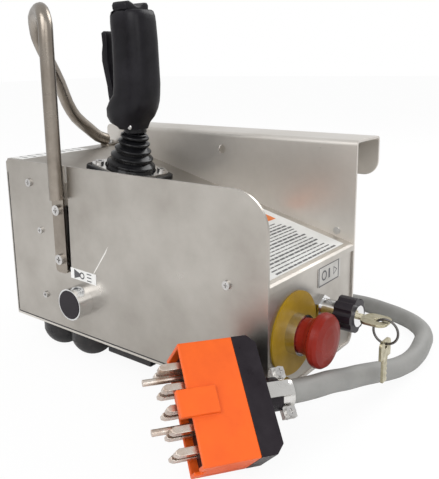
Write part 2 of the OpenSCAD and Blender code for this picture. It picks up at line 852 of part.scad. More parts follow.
module retainer_screws() {
    seat = boot_plate_t + retainer_t;
    color(bright) on_slope() retainer_places() difference() {
        union() {
            rod(retainer_screw_r, -deck_t - housing_wall, seat);
            rod(retainer_head_r, seat, seat + retainer_head_h);
        }
        translate([0, 0, seat]) cross_slot(retainer_head_r, retainer_head_h);
    }
}

// Shaft: hub on the pivot pin, rod up to the grip, tail with the sensor's magnet
module joystick_shaft() {
    hub_w = housing_w - 2 * housing_wall - 2 * slide_gap;
    color(bright) {
        on_slope() difference() {
            union() {
                translate([0, 0, pivot_z]) rotate([90, 0, 0]) rod(hub_r, -hub_w / 2, hub_w / 2);
                rod(shaft_r, pivot_z, neck_h);
                rod(tail_r, pivot_z - tail_l, pivot_z);
            }
            translate([0, 0, pivot_z]) rotate([90, 0, 0]) rod(pin_r + run_gap, -housing_w, housing_w);
        }
    }
}

module oblong(p, z, h) {
    for (side = [-1, 1]) translate([p.z + side * (p.x - p.y), 0, z]) cylinder(r = p.y, h = h, $fn = hull_fn);
}

// Grip: a hand-sized body with a slot for the trigger and a pocket for the rocker
module grip() {
    slice = 0.6;
    color(grip_black) difference() {
        at_grip() difference() {
            union() {
                hull() for (p = grip_low) oblong(p, p[3] * grip_h, slice);
                hull() for (p = grip_high) oblong(p, p[3] * grip_h - (p[3] == 1 ? slice : 0), slice);
            }
            box([grip_h, slot_w, slot_top - slot_low],
                [slot_floor_x - grip_h, -slot_w / 2, slot_low]);
            box([switch_size.x, switch_size.y, switch_size.z],
                [slot_floor_x, -switch_size.y / 2, switch_z]);
            translate([trigger_x, 0, trigger_z]) rotate([90, 0, 0]) rod(trigger_pin_r, -grip_h, grip_h);
            box([rocker_l + 2 * slide_gap, rocker_w + 2 * rocker_room, grip_h],
                [-rocker_l / 2 - slide_gap, -rocker_w / 2 - rocker_room, grip_h - rocker_pocket_deep]);
            translate([0, 0, rocker_pin_z]) rotate([0, 90, 0]) rod(rocker_pin_r, -rocker_l, rocker_l);
        }
        on_slope() rod(shaft_r, 0, neck_h);
    }
}

// Trigger: a long curved lever, hinged at its lower end
module trigger() {
    color(grip_black) at_grip() difference() {
        union() {
            translate([0, trigger_w / 2, 0]) along_y() linear_extrude(trigger_w) polygon(trigger_outline);
            translate([trigger_x, 0, trigger_z]) rotate([90, 0, 0]) rod(trigger_hub_r, -trigger_w / 2, trigger_w / 2);
        }
        translate([trigger_x, 0, trigger_z]) rotate([90, 0, 0])
            rod(trigger_pin_r + run_gap, -trigger_w, trigger_w);
    }
}

module trigger_pin() {
    color(bright) at_grip() translate([trigger_x, 0, trigger_z]) rotate([90, 0, 0])
        rod(trigger_pin_r, -trigger_w / 2 - pin_seat, trigger_w / 2 + pin_seat);
}

module trigger_switch() {
    color(dark) at_grip() box(switch_size, [slot_floor_x, -switch_size.y / 2, switch_z]);
}

// Thumb rocker: a saddle that tips to the left and right about its pin
module rocker() {
    half = rocker_w / 2;
    low = rocker_pin_z - rocker_hub_r / 2;
    wing = grip_h + 1.5;
    color(grip_black) at_grip() difference() {
        union() {
            translate([-rocker_l / 2, 0, 0]) along_x() linear_extrude(rocker_l) polygon([
                [-half, wing], [-half + 2, wing - 3], [-rocker_hub_r, low], [rocker_hub_r, low],
                [half - 2, wing - 3], [half, wing], [half, wing + 3.5], [half - 3, wing + 5.5],
                [half - 9, wing + 3], [3, wing + 1], [-3, wing + 1], [-half + 9, wing + 3],
                [-half + 3, wing + 5.5], [-half, wing + 3.5]
            ]);
            translate([0, 0, rocker_pin_z]) rotate([0, 90, 0]) rod(rocker_hub_r, -rocker_l / 2, rocker_l / 2);
        }
        translate([0, 0, rocker_pin_z]) rotate([0, 90, 0]) rod(rocker_pin_r + run_gap, -rocker_l, rocker_l);
    }
}

module rocker_pin() {
    color(bright) at_grip() translate([0, 0, rocker_pin_z]) rotate([0, 90, 0])
        rod(rocker_pin_r, -rocker_l / 2 - pin_seat, rocker_l / 2 + pin_seat);
}

// Horn button

module horn_bezel() {
    color(bright) on_front(horn_x, horn_z) difference() {
        union() {
            rod(horn_d / 2, 0, horn_l);
            rod(thread_r, -thread_l, 0);
        }
        rod(horn_d / 2 - horn_wall, web_t, horn_l + over);
        rod(guide_r + run_gap, -thread_l - over, web_t + over);
    }
}

module horn_button() {
    color(dark) on_front(horn_x, horn_z) {
        rod(horn_d / 2 - horn_wall - slide_gap, horn_l - horn_cap_t, horn_l + horn_proud);
        rod(guide_r, -horn_stem_l, horn_l - horn_cap_t);
    }
}

// Nut behind a panel, on the thread of a control
module lock_nut(r, bore, wall) {
    difference() {
        hex(r, -wall - nut_t, -wall);
        rod(bore, -wall - nut_t - over, over);
    }
}

// Contact block with its terminal screws, behind the thread of a control
module contact_block(side, from, l) {
    screw_r = side / 12;
    screw_h = side / 20;
    box([side, side, l], [-side / 2, -side / 2, -from - l]);
    for (x = [-1, 1], y = [-1, 1]) translate([x * side / 3, y * side / 3, 0])
        rod(screw_r, -from - l - screw_h, -from - l);
}

module horn_lock_nut() color(bright) on_front(horn_x, horn_z) lock_nut(nut_r, thread_r, sheet_t);

module horn_contact_block() color(dark) on_front(horn_x, horn_z) contact_block(contact_side, thread_l, contact_l);

module horn_label() {
    color(white) on_front(horn_x - horn_label_shift, horn_z + horn_label_up) rotate([0, 0, horn_label_turn])
        translate([0, 0, sticker_t / 2]) cube([horn_label_size.x, horn_label_size.y, sticker_t], center = true);
}

// Emergency stop

module stop_ring() {
    color(yellow) on_end(stop_y, stop_z) difference() {
        rod(stop_ring_d / 2, 0, stop_ring_t);
        rod(thread_r, -over, stop_ring_t + over);
    }
}

module stop_collar() {
    color(bright) on_end(stop_y, stop_z) difference() {
        union() {
            rod(collar_r, stop_ring_t, collar_h);
            rod(thread_r, -thread_l, stop_ring_t);
        }
        rod(collar_r - collar_wall, stop_ring_t + web_t, collar_h + over);
        rod(guide_r + run_gap, -thread_l - over, collar_h);
    }
}

module stop_plunger() {
    color(dark) on_end(stop_y, stop_z) rod(guide_r, -plunger_tail, plunger_end);
}

// Mushroom head on the end of the plunger
module stop_head() {
    r = stop_head_d / 2;
    l = stop_head_l;
    color(red) on_end(stop_y, stop_z) rotate_extrude($fn = round_fn) polygon([
        [guide_r + run_gap, stop_neck_z], [stop_neck_r, stop_neck_z], [stop_neck_r + 0.5, l * 0.48],
        [r * 0.79, l * 0.62], [r * 0.96, l * 0.70], [r, l * 0.77], [r * 0.98, l * 0.87], [r * 0.90, l * 0.94],
        [r * 0.60, l * 0.985], [r * 0.3, l], [0, l], [0, plunger_end + run_gap], [guide_r + run_gap, plunger_end + run_gap]
    ]);
}

module stop_lock_nut() color(bright) on_end(stop_y, stop_z) lock_nut(nut_r, thread_r, sheet_t);

module stop_contact_block() color(dark) on_end(stop_y, stop_z) contact_block(contact_side, thread_l, contact_l);

// Key switch

module key_barrel() {
    color(bright) on_end(key_y, key_z) difference() {
        union() {
            rod(barrel_r, 0, barrel_l);
            rod(key_thread_r, -key_thread_l, 0);
            hex(barrel_nut_r, 0, barrel_nut_t);
        }
        rod(lock_r + run_gap, -key_thread_l - over, barrel_l + over);
    }
}

module key_bezel() {
    r = key_bezel_d / 2;
    color(dark) on_end(key_y, key_z) difference() {
        rod(r, barrel_l, barrel_l + bezel_l);
        rod(lock_r + run_gap, 0, barrel_l + bezel_l + over);
        for (k = [0 : flute_count - 1]) rotate([0, 0, (k + 0.5) * 360 / flute_count])
            translate([r + flute_out, 0, 0]) rod(flute_r, barrel_l - over, barrel_l + bezel_l + over);
    }
}

// Lock cylinder with the bright face that the key turns
module lock_cylinder() {
    face = barrel_l + bezel_l;
    color(bright) on_end(key_y, key_z) difference() {
        union() {
            rod(lock_r, -key_thread_l + over, face);
            rod(lock_face_r, face + run_gap, face + lock_face_t);
            rod(lock_r, face, face + lock_face_t);
        }
        box([key_t, blade_w, lock_face_t + over], [-key_t / 2, -blade_w / 2, face + lock_face_t - blade_in]);
    }
}

// Key, with its bow lying level
module key() {
    face = barrel_l + bezel_l + lock_face_t;
    bow_from = face + bow_from_face;
    color(bright) on_end(key_y, key_z) translate([-key_t / 2, 0, 0]) rotate([0, 90, 0]) rotate([0, 0, 180])
        linear_extrude(key_t) difference() {
            union() {
                translate([face - blade_in, -blade_w / 2]) square([bow_from_face + 3 * blade_in, blade_w]);
                translate([bow_from + bow_l / 2, 0]) bow_outline();
            }
            translate([bow_end - hole_from_end, 0]) circle(hole_r, $fn = round_fn);
        }
}

module bow_outline() {
    corner = bow_w * 0.32;
    square([bow_l, bow_w - 2 * corner], center = true);
    square([bow_l - 2 * corner, bow_w], center = true);
    for (x = [-1, 1], y = [-1, 1])
        translate([x * (bow_l / 2 - corner), y * (bow_w / 2 - corner)]) circle(corner, $fn = hull_fn);
}

module key_ring() {
    color(dark) translate([ring_x, key_y, ring_z]) rotate([90, 0, 0]) rotate_extrude($fn = round_fn)
        translate([ring_r, 0]) circle(wire_r, $fn = hull_fn);
}

// Spare key, hanging from the ring
module spare_key() {
    top = spare_hole_r * 1.8;
    color(bright) translate([ring_x - key_t / 2, key_y, spare_hole_z]) along_x() linear_extrude(key_t) difference() {
        union() {
            translate([-spare_bow_w / 2, top - spare_bow_h]) square([spare_bow_w, spare_bow_h - spare_bow_w / 4]);
            translate([-spare_bow_w / 4, top - spare_bow_h]) square([spare_bow_w / 2, spare_bow_h]);
            for (y = [-1, 1]) translate([y * spare_bow_w / 4, top - spare_bow_w / 4])
                circle(spare_bow_w / 4, $fn = hull_fn);
            translate([-spare_blade_w / 2, top - spare_bow_h - spare_blade_l])
                square([spare_blade_w, spare_blade_l + 1]);
        }
        circle(spare_hole_r, $fn = round_fn);
        for (k = [1 : 4]) translate([spare_blade_w / 2, top - spare_bow_h - k * spare_blade_l / 5])
            circle(spare_blade_w / 6, $fn = hull_fn);
    }
}

module key_lock_nut() color(bright) on_end(key_y, key_z) lock_nut(barrel_nut_r, key_thread_r, sheet_t);

module key_contact_block() {
    color(dark) on_end(key_y, key_z) contact_block(key_contact_side, key_thread_l, key_contact_l);
}

// Boards inside

module board_bracket() {
    color(steel) difference() {
        union() {
            box([bracket_foot, bracket_t, bracket_h], [bracket_x - bracket_foot, inner_front_y, bracket_z]);
            box([bracket_t, bracket_l, bracket_h], [bracket_x - bracket_t, inner_front_y, bracket_z]);
        }
        for (p = panel_screws_at) panel_screw_hole(p);
    }
}

function board_x() = bracket_x - bracket_t - standoff;
function board_y() = inner_front_y + bracket_l - board_l - standoff;
function board_z() = bracket_z + (bracket_h - board_h) / 2;

// Control board on four standoffs
module control_board() {
    color(green) {
        box([board_t, board_l, board_h], [board_x() - board_t, board_y(), board_z()]);
        for (y = [standoff_r, board_l - standoff_r], z = [standoff_r, board_h - standoff_r])
            translate([board_x(), board_y() + y, board_z() + z]) rotate([0, 90, 0]) rod(standoff_r, 0, standoff);
    }
}

module terminal_strip() {
    poles = 8;
    pitch = strip_l / poles;
    color(grey) difference() {
        box([strip_d, strip_l, strip_h],
            [board_x() - board_t - strip_d, board_y() + (board_l - strip_l) / 2, board_z() + strip_h]);
        for (k = [0 : poles - 1])
            translate([board_x() - board_t - strip_d / 2, board_y() + (board_l - strip_l) / 2 + (k + 0.5) * pitch, 0])
                rod(pitch / 4, board_z() + 1.6 * strip_h, board_z() + 2 * strip_h + over);
    }
}

// Labels, bare

module slope_label() {
    from = left_x + slope_label_from;
    to = left_x + slope_label_to;
    color(white) translate([0, inner_back_y - slope_label_back, 0]) along_y()
        linear_extrude(inner_w - slope_label_margin - slope_label_back) polygon([
            [from, deck_z(from)], [to, deck_z(to)], [to, deck_z(to) + label_t], [from, deck_z(from) + label_t]
        ]);
}

module strip_label() {
    color(white) box([strip_label_w, strip_label_l, label_t],
        [left_x + (level_l - strip_label_w) / 2, inner_front_y + strip_label_margin, top_z]);
}

module end_label() {
    color(grey) box([label_t, end_label_size.x, end_label_size.y],
        [face_x, end_label_y - end_label_size.x / 2, floor_z + end_label_up - end_label_size.y / 2]);
}

// Cable and plug

module cable_gland() {
    color(rubber) on_back(gland_x, gland_z) difference() {
        union() {
            hex(gland_r, 0, gland_hex_t);
            rod(gland_dome_r, gland_hex_t, gland_l);
            rod(gland_thread_r, -gland_thread_l, 0);
        }
        rod(gland_bore_r, -gland_thread_l - over, gland_l + over);
    }
}

module gland_nut() color(rubber) on_back(gland_x, gland_z) lock_nut(gland_r, gland_thread_r, sheet_t);

module cable() color(grey) swept_tube(cable_points, cable_r, cable_sides, [0, 0, 1]);

// Orange body: a shell with an inner wall, a keying rib and a notch in its lower end
module plug_body() {
    color(orange) at_plug() difference() {
        union() {
            cube([plug_deep, plug_thick, plug_long]);
            box([rib_size.x, rib_size.y + plug_wall, rib_size.z],
                [-rib_out, -rib_size.y, (plug_long - rib_size.z) / 2]);
        }
        box([plug_cavity + over, plug_thick - 2 * plug_wall, plug_long - 2 * plug_wall],
            [-over, plug_wall, plug_wall]);
        box([plug_recess, plug_thick / 3, plug_wall + 2 * over], [-over, plug_thick / 3, -over]);
    }
}

module plug_insert() {
    color(dark) at_plug() difference() {
        box([plug_cavity - plug_recess, plug_thick - 2 * plug_wall, plug_long - 2 * plug_wall],
            [plug_recess, plug_wall, plug_wall]);
        at_blades() cube([blade_size.x + blade_root, blade_size.y, blade_size.z]);
        at_guides() rod(guide_pin_r, -blade_root, guide_l);
    }
}

// Places of the flat blades, two rows of them
module at_blades() {
    for (row = blade_rows, k = [0 : blade_count - 1])
        translate([plug_recess - blade_size.x, row * plug_thick - blade_size.y / 2,
            blade_z + k * blade_pitch - blade_size.z / 2]) children();
}

// Places of the two round pins, with their axes pointing out of the plug
module at_guides() {
    for (share = guide_places)
        translate([plug_recess, plug_thick / 2, blade_z + share * blade_pitch]) rotate([0, -90, 0]) children();
}

module plug_blades() {
    root = blade_size.x + blade_root;
    color(bright) at_plug() at_blades() translate([0, 0, blade_size.z]) rotate([-90, 0, 0])
        linear_extrude(blade_size.y) polygon([
            [0, blade_tip * 0.5], [blade_tip, 0], [root, 0], [root, blade_size.z],
            [blade_tip, blade_size.z], [0, blade_size.z - blade_tip * 0.5]
        ]);
}

module guide_pins() color(bright) at_plug() at_guides() rod(guide_pin_r, -blade_root, guide_l);

// Black cap with its cable boss
module plug_cap() {
    to = plug_deep + plug_cap_deep;
    color(dark) at_plug() difference() {
        union() {
            translate([0, plug_thick, 0]) along_y() linear_extrude(plug_thick) polygon([
                [plug_deep, 0], [to - cap_chamfer, 0], [to, cap_chamfer], [to, plug_long - cap_chamfer],
                [to - cap_chamfer, plug_long], [plug_deep, plug_long]
            ]);
            translate([0, plug_thick / 2, boss_up]) rotate([0, 90, 0])
                rod(boss_r, to, to + boss_l);
        }
        translate([0, plug_thick / 2, boss_up]) rotate([0, 90, 0])
            rod(cable_r + boss_gap, to, to + boss_l + over);
    }
}

module at_clamp() {
    at_plug() translate([plug_deep + plug_cap_deep + boss_l, plug_thick / 2, boss_up])
        rotate([0, 90, 0]) children();
}

// Saddle clamp round the cable, with two ears and a tab that holds it to the cap
module cable_clamp() {
    inner = cable_r + boss_gap;
    outer = inner + clamp_wall;
    color(bright) at_clamp() {
        difference() {
            union() {
                rod(outer, 0, clamp_l);
                box([2 * (outer + ear_w), 2 * ear_t, clamp_l], [-outer - ear_w, -ear_t, 0]);
            }
            rod(inner, -over, clamp_l + over);
            for (x = [-1, 1]) translate([x * (outer + ear_w / 2), 0, clamp_l / 2])
                rotate([90, 0, 0]) rod(clamp_screw_r, -outer, outer);
        }
        box([tab_w, tab_t, clamp_l / 2 + boss_l], [-tab_w / 2, -boss_r - tab_t, -boss_l]);
        box([tab_w, boss_r - inner - clamp_wall / 2, clamp_l / 2], [-tab_w / 2, -boss_r, slide_gap]);
    }
}

module clamp_screws() {
    outer = cable_r + boss_gap + clamp_wall;
    color(bright) at_clamp() for (x = [-1, 1]) translate([x * (outer + ear_w / 2), 0, clamp_l / 2])
        rotate([90, 0, 0]) difference() {
            union() {
                rod(clamp_screw_r, -ear_t - clamp_head_h, ear_t);
                rod(clamp_head_r, ear_t, ear_t + clamp_head_h);
                hex(clamp_head_r, -ear_t - clamp_head_h, -ear_t);
            }
            translate([0, 0, ear_t]) cross_slot(clamp_head_r, clamp_head_h);
        }
}

base_sheet();
base_bend();
back_wall();
hook_top();
hook_lip();
front_angle();
front_plate();
left_end_panel();
right_end_panel();
deck_panel();
panel_screws();
back_rivets();
handle();
handle_screws();
rubber_feet();
foot_screws();
middle_pad();
joystick_housing();
joystick_pin();
sensor_board();
boot();
boot_retainer();
retainer_screws();
joystick_shaft();
grip();
trigger();
trigger_switch();
rocker();
union() {  // grip_pins
    trigger_pin();
    rocker_pin();
}
horn_bezel();
horn_button();
union() {  // lock_nuts
    horn_lock_nut();
    stop_lock_nut();
    key_lock_nut();
}
union() {  // contact_blocks
    horn_contact_block();
    stop_contact_block();
    key_contact_block();
}
horn_label();
stop_ring();
stop_collar();
stop_plunger();
stop_head();
key_barrel();
key_bezel();
lock_cylinder();
key();
key_ring();
spare_key();
board_bracket();
control_board();
terminal_strip();
slope_label();
strip_label();
end_label();
cable_gland();
gland_nut();
cable();
plug_body();
plug_insert();
plug_blades();
guide_pins();
plug_cap();
cable_clamp();
clamp_screws();
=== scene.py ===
"""Looks of a scissor lift control box: casing, joystick, push controls, keys and a cable with its plug."""

from __future__ import annotations

import json
import logging
import math
from collections.abc import Iterable
from dataclasses import dataclass
from enum import Enum

import bmesh
import bpy
from mathutils import Matrix, Vector

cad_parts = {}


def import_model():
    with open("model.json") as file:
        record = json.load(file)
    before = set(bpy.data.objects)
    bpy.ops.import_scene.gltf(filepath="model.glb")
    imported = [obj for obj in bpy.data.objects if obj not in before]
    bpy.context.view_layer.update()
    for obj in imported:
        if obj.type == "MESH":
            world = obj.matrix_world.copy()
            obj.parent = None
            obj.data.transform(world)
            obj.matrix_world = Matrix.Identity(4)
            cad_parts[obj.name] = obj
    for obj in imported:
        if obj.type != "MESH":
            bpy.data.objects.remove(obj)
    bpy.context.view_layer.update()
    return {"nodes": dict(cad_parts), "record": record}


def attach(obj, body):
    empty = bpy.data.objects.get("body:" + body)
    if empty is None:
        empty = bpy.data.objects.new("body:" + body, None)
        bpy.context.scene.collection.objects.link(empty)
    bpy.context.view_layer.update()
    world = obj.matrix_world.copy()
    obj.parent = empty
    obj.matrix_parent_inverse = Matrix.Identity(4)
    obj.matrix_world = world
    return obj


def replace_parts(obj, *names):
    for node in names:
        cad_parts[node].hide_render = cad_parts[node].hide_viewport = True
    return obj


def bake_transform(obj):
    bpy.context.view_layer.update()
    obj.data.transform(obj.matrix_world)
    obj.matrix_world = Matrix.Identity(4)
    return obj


LOG = logging.getLogger("control_box")
Point = tuple[float, float]
Triple = tuple[float, float, float]

MM = 0.001
SLOPE_FALL = 64.0
SLOPE_RUN = 263.0
SLOPE = math.atan(SLOPE_FALL / SLOPE_RUN)
ROUND_STEPS = 3
WELD = 0.002
Y_AXIS = 1
Z_AXIS = 2
FLAT_ENOUGH = math.radians(0.5)
BRUSHED_STRETCH = (0.02, 0.02, 1.0)
RELIEF_DEPTH = 0.2
SCRATCH_POLISH = -0.10


class Grain(Enum):
    """Which way the fine grain of a surface runs."""

    BRUSHED = "brushed"
    EVEN = "even"


@dataclass(frozen=True)
class Finish:
    """One material: two colours that mix in clouds, a range of roughness and a fine relief."""

    name: str
    colour: Triple
    shade: Triple
    metallic: float = 0.0
    smooth: float = 0.35
    rough: float = 0.5
    cloud_scale: float = 18.0
    grain_scale: float = 900.0
    relief: float = 0.1
    grain: Grain = Grain.EVEN
    coat: float = 0.0
    scratches: float = 0.0
    specular: float = 0.5

    def stretch(self) -> Triple:
        """Returns how the grain's coordinates are scaled, which draws brushed grain out into lines."""
        return BRUSHED_STRETCH if self.grain is Grain.BRUSHED else (1.0, 1.0, 1.0)


STEEL = Finish(
    "stainless_sheet", (0.47, 0.445, 0.410), (0.375, 0.350, 0.318), metallic=1.0, smooth=0.26, rough=0.46,
    cloud_scale=14, grain_scale=1300, relief=0.05, grain=Grain.BRUSHED, scratches=0.5)
FINISHES = {
    "casing_steel": STEEL,
    "handle_steel": Finish(
        "satin_tube", (0.33, 0.295, 0.255), (0.22, 0.190, 0.160), metallic=1.0, smooth=0.22, rough=0.38,
        cloud_scale=30, grain_scale=900, relief=0.04, scratches=0.4),
    "fastener_steel": Finish(
        "zinc_fastener", (0.62, 0.61, 0.60), (0.45, 0.44, 0.43), metallic=1.0, smooth=0.22, rough=0.36,
        cloud_scale=90, grain_scale=2500, relief=0.05),
    "bright_plate": Finish(
        "bright_plate", (0.72, 0.71, 0.69), (0.56, 0.55, 0.53), metallic=1.0, smooth=0.16, rough=0.30,
        cloud_scale=45, grain_scale=1600, relief=0.04, scratches=0.5),
    "chrome": Finish(
        "polished_metal", (0.74, 0.74, 0.74), (0.64, 0.64, 0.64), metallic=1.0, smooth=0.07, rough=0.18,
        cloud_scale=60, grain_scale=2000, relief=0.02),
    "key_nickel": Finish(
        "worn_nickel", (0.50, 0.46, 0.33), (0.30, 0.27, 0.18), metallic=1.0, smooth=0.22, rough=0.42,
        cloud_scale=160, grain_scale=2600, relief=0.06, scratches=0.6),
    "ring_wire": Finish(
        "dark_wire", (0.16, 0.15, 0.145), (0.08, 0.075, 0.07), metallic=1.0, smooth=0.25, rough=0.4,
        cloud_scale=200, grain_scale=3000, relief=0.04),
    "blade_silver": Finish(
        "plated_blade", (0.74, 0.68, 0.62), (0.50, 0.40, 0.33), metallic=1.0, smooth=0.2, rough=0.36,
        cloud_scale=140, grain_scale=2200, relief=0.06),
    "bumper_rubber": Finish(
        "bumper_rubber", (0.012, 0.012, 0.013), (0.022, 0.020, 0.020), smooth=0.26, rough=0.42,
        cloud_scale=60, grain_scale=1500, relief=0.10, specular=0.35),
    "boot_rubber": Finish(
        "boot_rubber", (0.004, 0.004, 0.005), (0.008, 0.008, 0.009), smooth=0.14, rough=0.26,
        cloud_scale=70, grain_scale=1800, relief=0.08, specular=0.22),
    "grip_plastic": Finish(
        "grip_plastic", (0.006, 0.0055, 0.007), (0.012, 0.011, 0.014), smooth=0.28, rough=0.42,
        cloud_scale=60, grain_scale=1700, relief=0.22, specular=0.16),
    "black_plastic": Finish(
        "black_moulding", (0.009, 0.006, 0.009), (0.016, 0.012, 0.016), smooth=0.26, rough=0.42,
        cloud_scale=70, grain_scale=1500, relief=0.08, specular=0.22),
    "stop_red": Finish(
        "red_mushroom", (0.215, 0.016, 0.009), (0.165, 0.011, 0.006), smooth=0.24, rough=0.36,
        cloud_scale=50, grain_scale=1400, relief=0.05, coat=0.02, specular=0.12),
    "stop_yellow": Finish(
        "olive_yellow_ring", (0.355, 0.215, 0.007), (0.27, 0.16, 0.007), smooth=0.34, rough=0.5,
        cloud_scale=60, grain_scale=1500, relief=0.06, specular=0.3),
    "plug_orange": Finish(
        "orange_moulding", (0.76, 0.115, 0.010), (0.68, 0.092, 0.008), smooth=0.34, rough=0.50,
        cloud_scale=40, grain_scale=1300, relief=0.10, specular=0.3),
    "cable_grey": Finish(
        "grey_jacket", (0.205, 0.205, 0.195), (0.265, 0.262, 0.25), smooth=0.44, rough=0.62, cloud_scale=35,
        grain_scale=1100, relief=0.16),
    "board_green": Finish(
        "solder_mask", (0.01, 0.09, 0.04), (0.015, 0.12, 0.05), smooth=0.25, rough=0.35, cloud_scale=60,
        grain_scale=1200, relief=0.03),
    "terminal_grey": Finish(
        "terminal_block", (0.32, 0.32, 0.30), (0.26, 0.26, 0.25), smooth=0.4, rough=0.55, cloud_scale=60,
        grain_scale=1200, relief=0.05),
    "label_white": Finish(
        "white_film", (0.76, 0.76, 0.75), (0.66, 0.66, 0.64), smooth=0.30, rough=0.46, cloud_scale=30,
        grain_scale=900, relief=0.02),
    "label_grey": Finish(
        "metal_film", (0.50, 0.485, 0.46), (0.40, 0.39, 0.37), metallic=0.6, smooth=0.28, rough=0.42,
        cloud_scale=45, grain_scale=900, relief=0.03),
}
# The same stainless steel as the front plate, but lighter: the lighter colour is painted light that makes up
# for the dim light on the back wall and hook.
SHEET_STEEL_PAINTED_LIGHT = Finish(
    "stainless_fold_painted_light", (0.66, 0.63, 0.59), (0.54, 0.51, 0.47), metallic=0.82, smooth=0.30, rough=0.50,
    cloud_scale=12, grain_scale=1300, relief=0.05, grain=Grain.BRUSHED, scratches=0.5)
# Dark strips in the front plate's seams: painted shade where the seams' gaps lie in shadow.
SEAM_PAINTED_SHADE = Finish(
    "seam_shadow", (0.02, 0.02, 0.02), (0.035, 0.033, 0.031), smooth=0.5, rough=0.7, cloud_scale=90,
    grain_scale=1200, relief=0.02)
PRINT_DARK = Finish(
    "dark_print", (0.05, 0.05, 0.055), (0.09, 0.09, 0.095), smooth=0.4, rough=0.55, cloud_scale=90,
    grain_scale=1200, relief=0.02)
SCRATCH_BRIGHT = Finish(
    "bright_scratch", (0.82, 0.80, 0.77), (0.74, 0.72, 0.69), metallic=0.6, smooth=0.4, rough=0.5,
    cloud_scale=90, grain_scale=1200, relief=0.02)
PRINT_ORANGE = Finish(
    "orange_print", (0.80, 0.22, 0.03), (0.68, 0.17, 0.03), smooth=0.4, rough=0.5, cloud_scale=60,
    grain_scale=1200, relief=0.02)
# Nodes that are shown as rounded copies, with how far their edges are rounded, in millimetres,
# and the angle in degrees past which an edge stays sharp.
COPY_EDGES = {
    "handle": (0.0, 40), "plug_body": (0.9, 35), "plug_cap": (1.4, 30), "plug_blades": (0.35, 35),
    "key": (0.35, 35), "spare_key": (0.3, 35), "middle_pad": (1.2, 35), "front_plate": (0.25, 30),
    "right_end_panel": (0.2, 30), "deck_panel": (0.3, 12),
}


class NodeGroups:
    """Shader node groups that the materials share, each built once."""

    def __init__(self) -> None:
        """Builds the groups."""
        self.clouds = self._clouds()
        self.grain = self._grain()
        self.scratches = self._scratches()

    @staticmethod
    def _group(name: str, inputs: dict[str, str], outputs: dict[str, str]) -> bpy.types.NodeTree:
        """Makes an empty group with its sockets.

        Args:
            name: the group's name.
            inputs: socket names and their kinds.
            outputs: the same for what it puts out.

        Returns:
            The node tree, with its group input and output nodes.
        """
        tree = bpy.data.node_groups.new(name, "ShaderNodeTree")
        for sockets, way in ((inputs, "INPUT"), (outputs, "OUTPUT")):
            for label, kind in sockets.items():
                tree.interface.new_socket(label, in_out=way, socket_type=f"NodeSocket{kind}")
        tree.nodes.new("NodeGroupInput").name = "in"
        tree.nodes.new("NodeGroupOutput").name = "out"
        return tree

    def _clouds(self) -> bpy.types.NodeTree:
        """Builds the group that mixes two colours in soft clouds and gives the clouds as a mask.

        Returns:
            The group's node tree.
        """
        inputs = {"Vector": "Vector", "Colour": "Color", "Shade": "Color", "Scale": "Float"}
        tree = self._group("clouds", inputs, {"Colour": "Color", "Mask": "Float"})
        given, out = tree.nodes["in"].outputs, tree.nodes["out"].inputs
        noise = tree.nodes.new("ShaderNodeTexNoise")
        noise.inputs["Detail"].default_value = 5
        noise.inputs["Roughness"].default_value = 0.62
        spread = tree.nodes.new("ShaderNodeMapRange")
        spread.inputs["From Min"].default_value = 0.32
        spread.inputs["From Max"].default_value = 0.68
        mix = tree.nodes.new("ShaderNodeMix")
        mix.data_type = "RGBA"
        tree.links.new(given["Vector"], noise.inputs["Vector"])
        tree.links.new(given["Scale"], noise.inputs["Scale"])
        tree.links.new(noise.outputs["Fac"], spread.inputs["Value"])
        tree.links.new(spread.outputs["Result"], mix.inputs["Factor"])
        tree.links.new(given["Colour"], mix.inputs["A"])
        tree.links.new(given["Shade"], mix.inputs["B"])
        tree.links.new(mix.outputs["Result"], out["Colour"])
        tree.links.new(spread.outputs["Result"], out["Mask"])
        return tree

    def _grain(self) -> bpy.types.NodeTree:
        """Builds the group that gives fine grain, as lines where its coordinates are stretched.

        Returns:
            The group's node tree.
        """
        tree = self._group("grain", {"Vector": "Vector", "Scale": "Float"}, {"Height": "Float"})
        noise = tree.nodes.new("ShaderNodeTexNoise")
        noise.inputs["Detail"].default_value = 3
        tree.links.new(tree.nodes["in"].outputs["Vector"], noise.inputs["Vector"])
        tree.links.new(tree.nodes["in"].outputs["Scale"], noise.inputs["Scale"])
        tree.links.new(noise.outputs["Fac"], tree.nodes["out"].inputs["Height"])
        return tree

    def _scratches(self) -> bpy.types.NodeTree:
        """Builds the group that gives a mask of sparse thin scratches.

        Returns:
            The group's node tree.
        """
        tree = self._group("scratches", {"Vector": "Vector", "Amount": "Float"}, {"Mask": "Float"})
        turn = tree.nodes.new("ShaderNodeMapping")
        turn.inputs["Rotation"].default_value = (0.4, 0.9, 0.3)
        turn.inputs["Scale"].default_value = (9, 9, 190)
        noise = tree.nodes.new("ShaderNodeTexNoise")
        noise.inputs["Scale"].default_value = 1.6
        noise.inputs["Detail"].default_value = 1
        cut = tree.nodes.new("ShaderNodeMapRange")
        cut.inputs["From Min"].default_value = 0.70
        cut.inputs["From Max"].default_value = 0.76
        amount = tree.nodes.new("ShaderNodeMath")
        amount.operation = "MULTIPLY"
        tree.links.new(tree.nodes["in"].outputs["Vector"], turn.inputs["Vector"])
        tree.links.new(turn.outputs["Vector"], noise.inputs["Vector"])
        tree.links.new(noise.outputs["Fac"], cut.inputs["Value"])
        tree.links.new(cut.outputs["Result"], amount.inputs[0])
        tree.links.new(tree.nodes["in"].outputs["Amount"], amount.inputs[1])
        tree.links.new(amount.outputs["Value"], tree.nodes["out"].inputs["Mask"])
        return tree


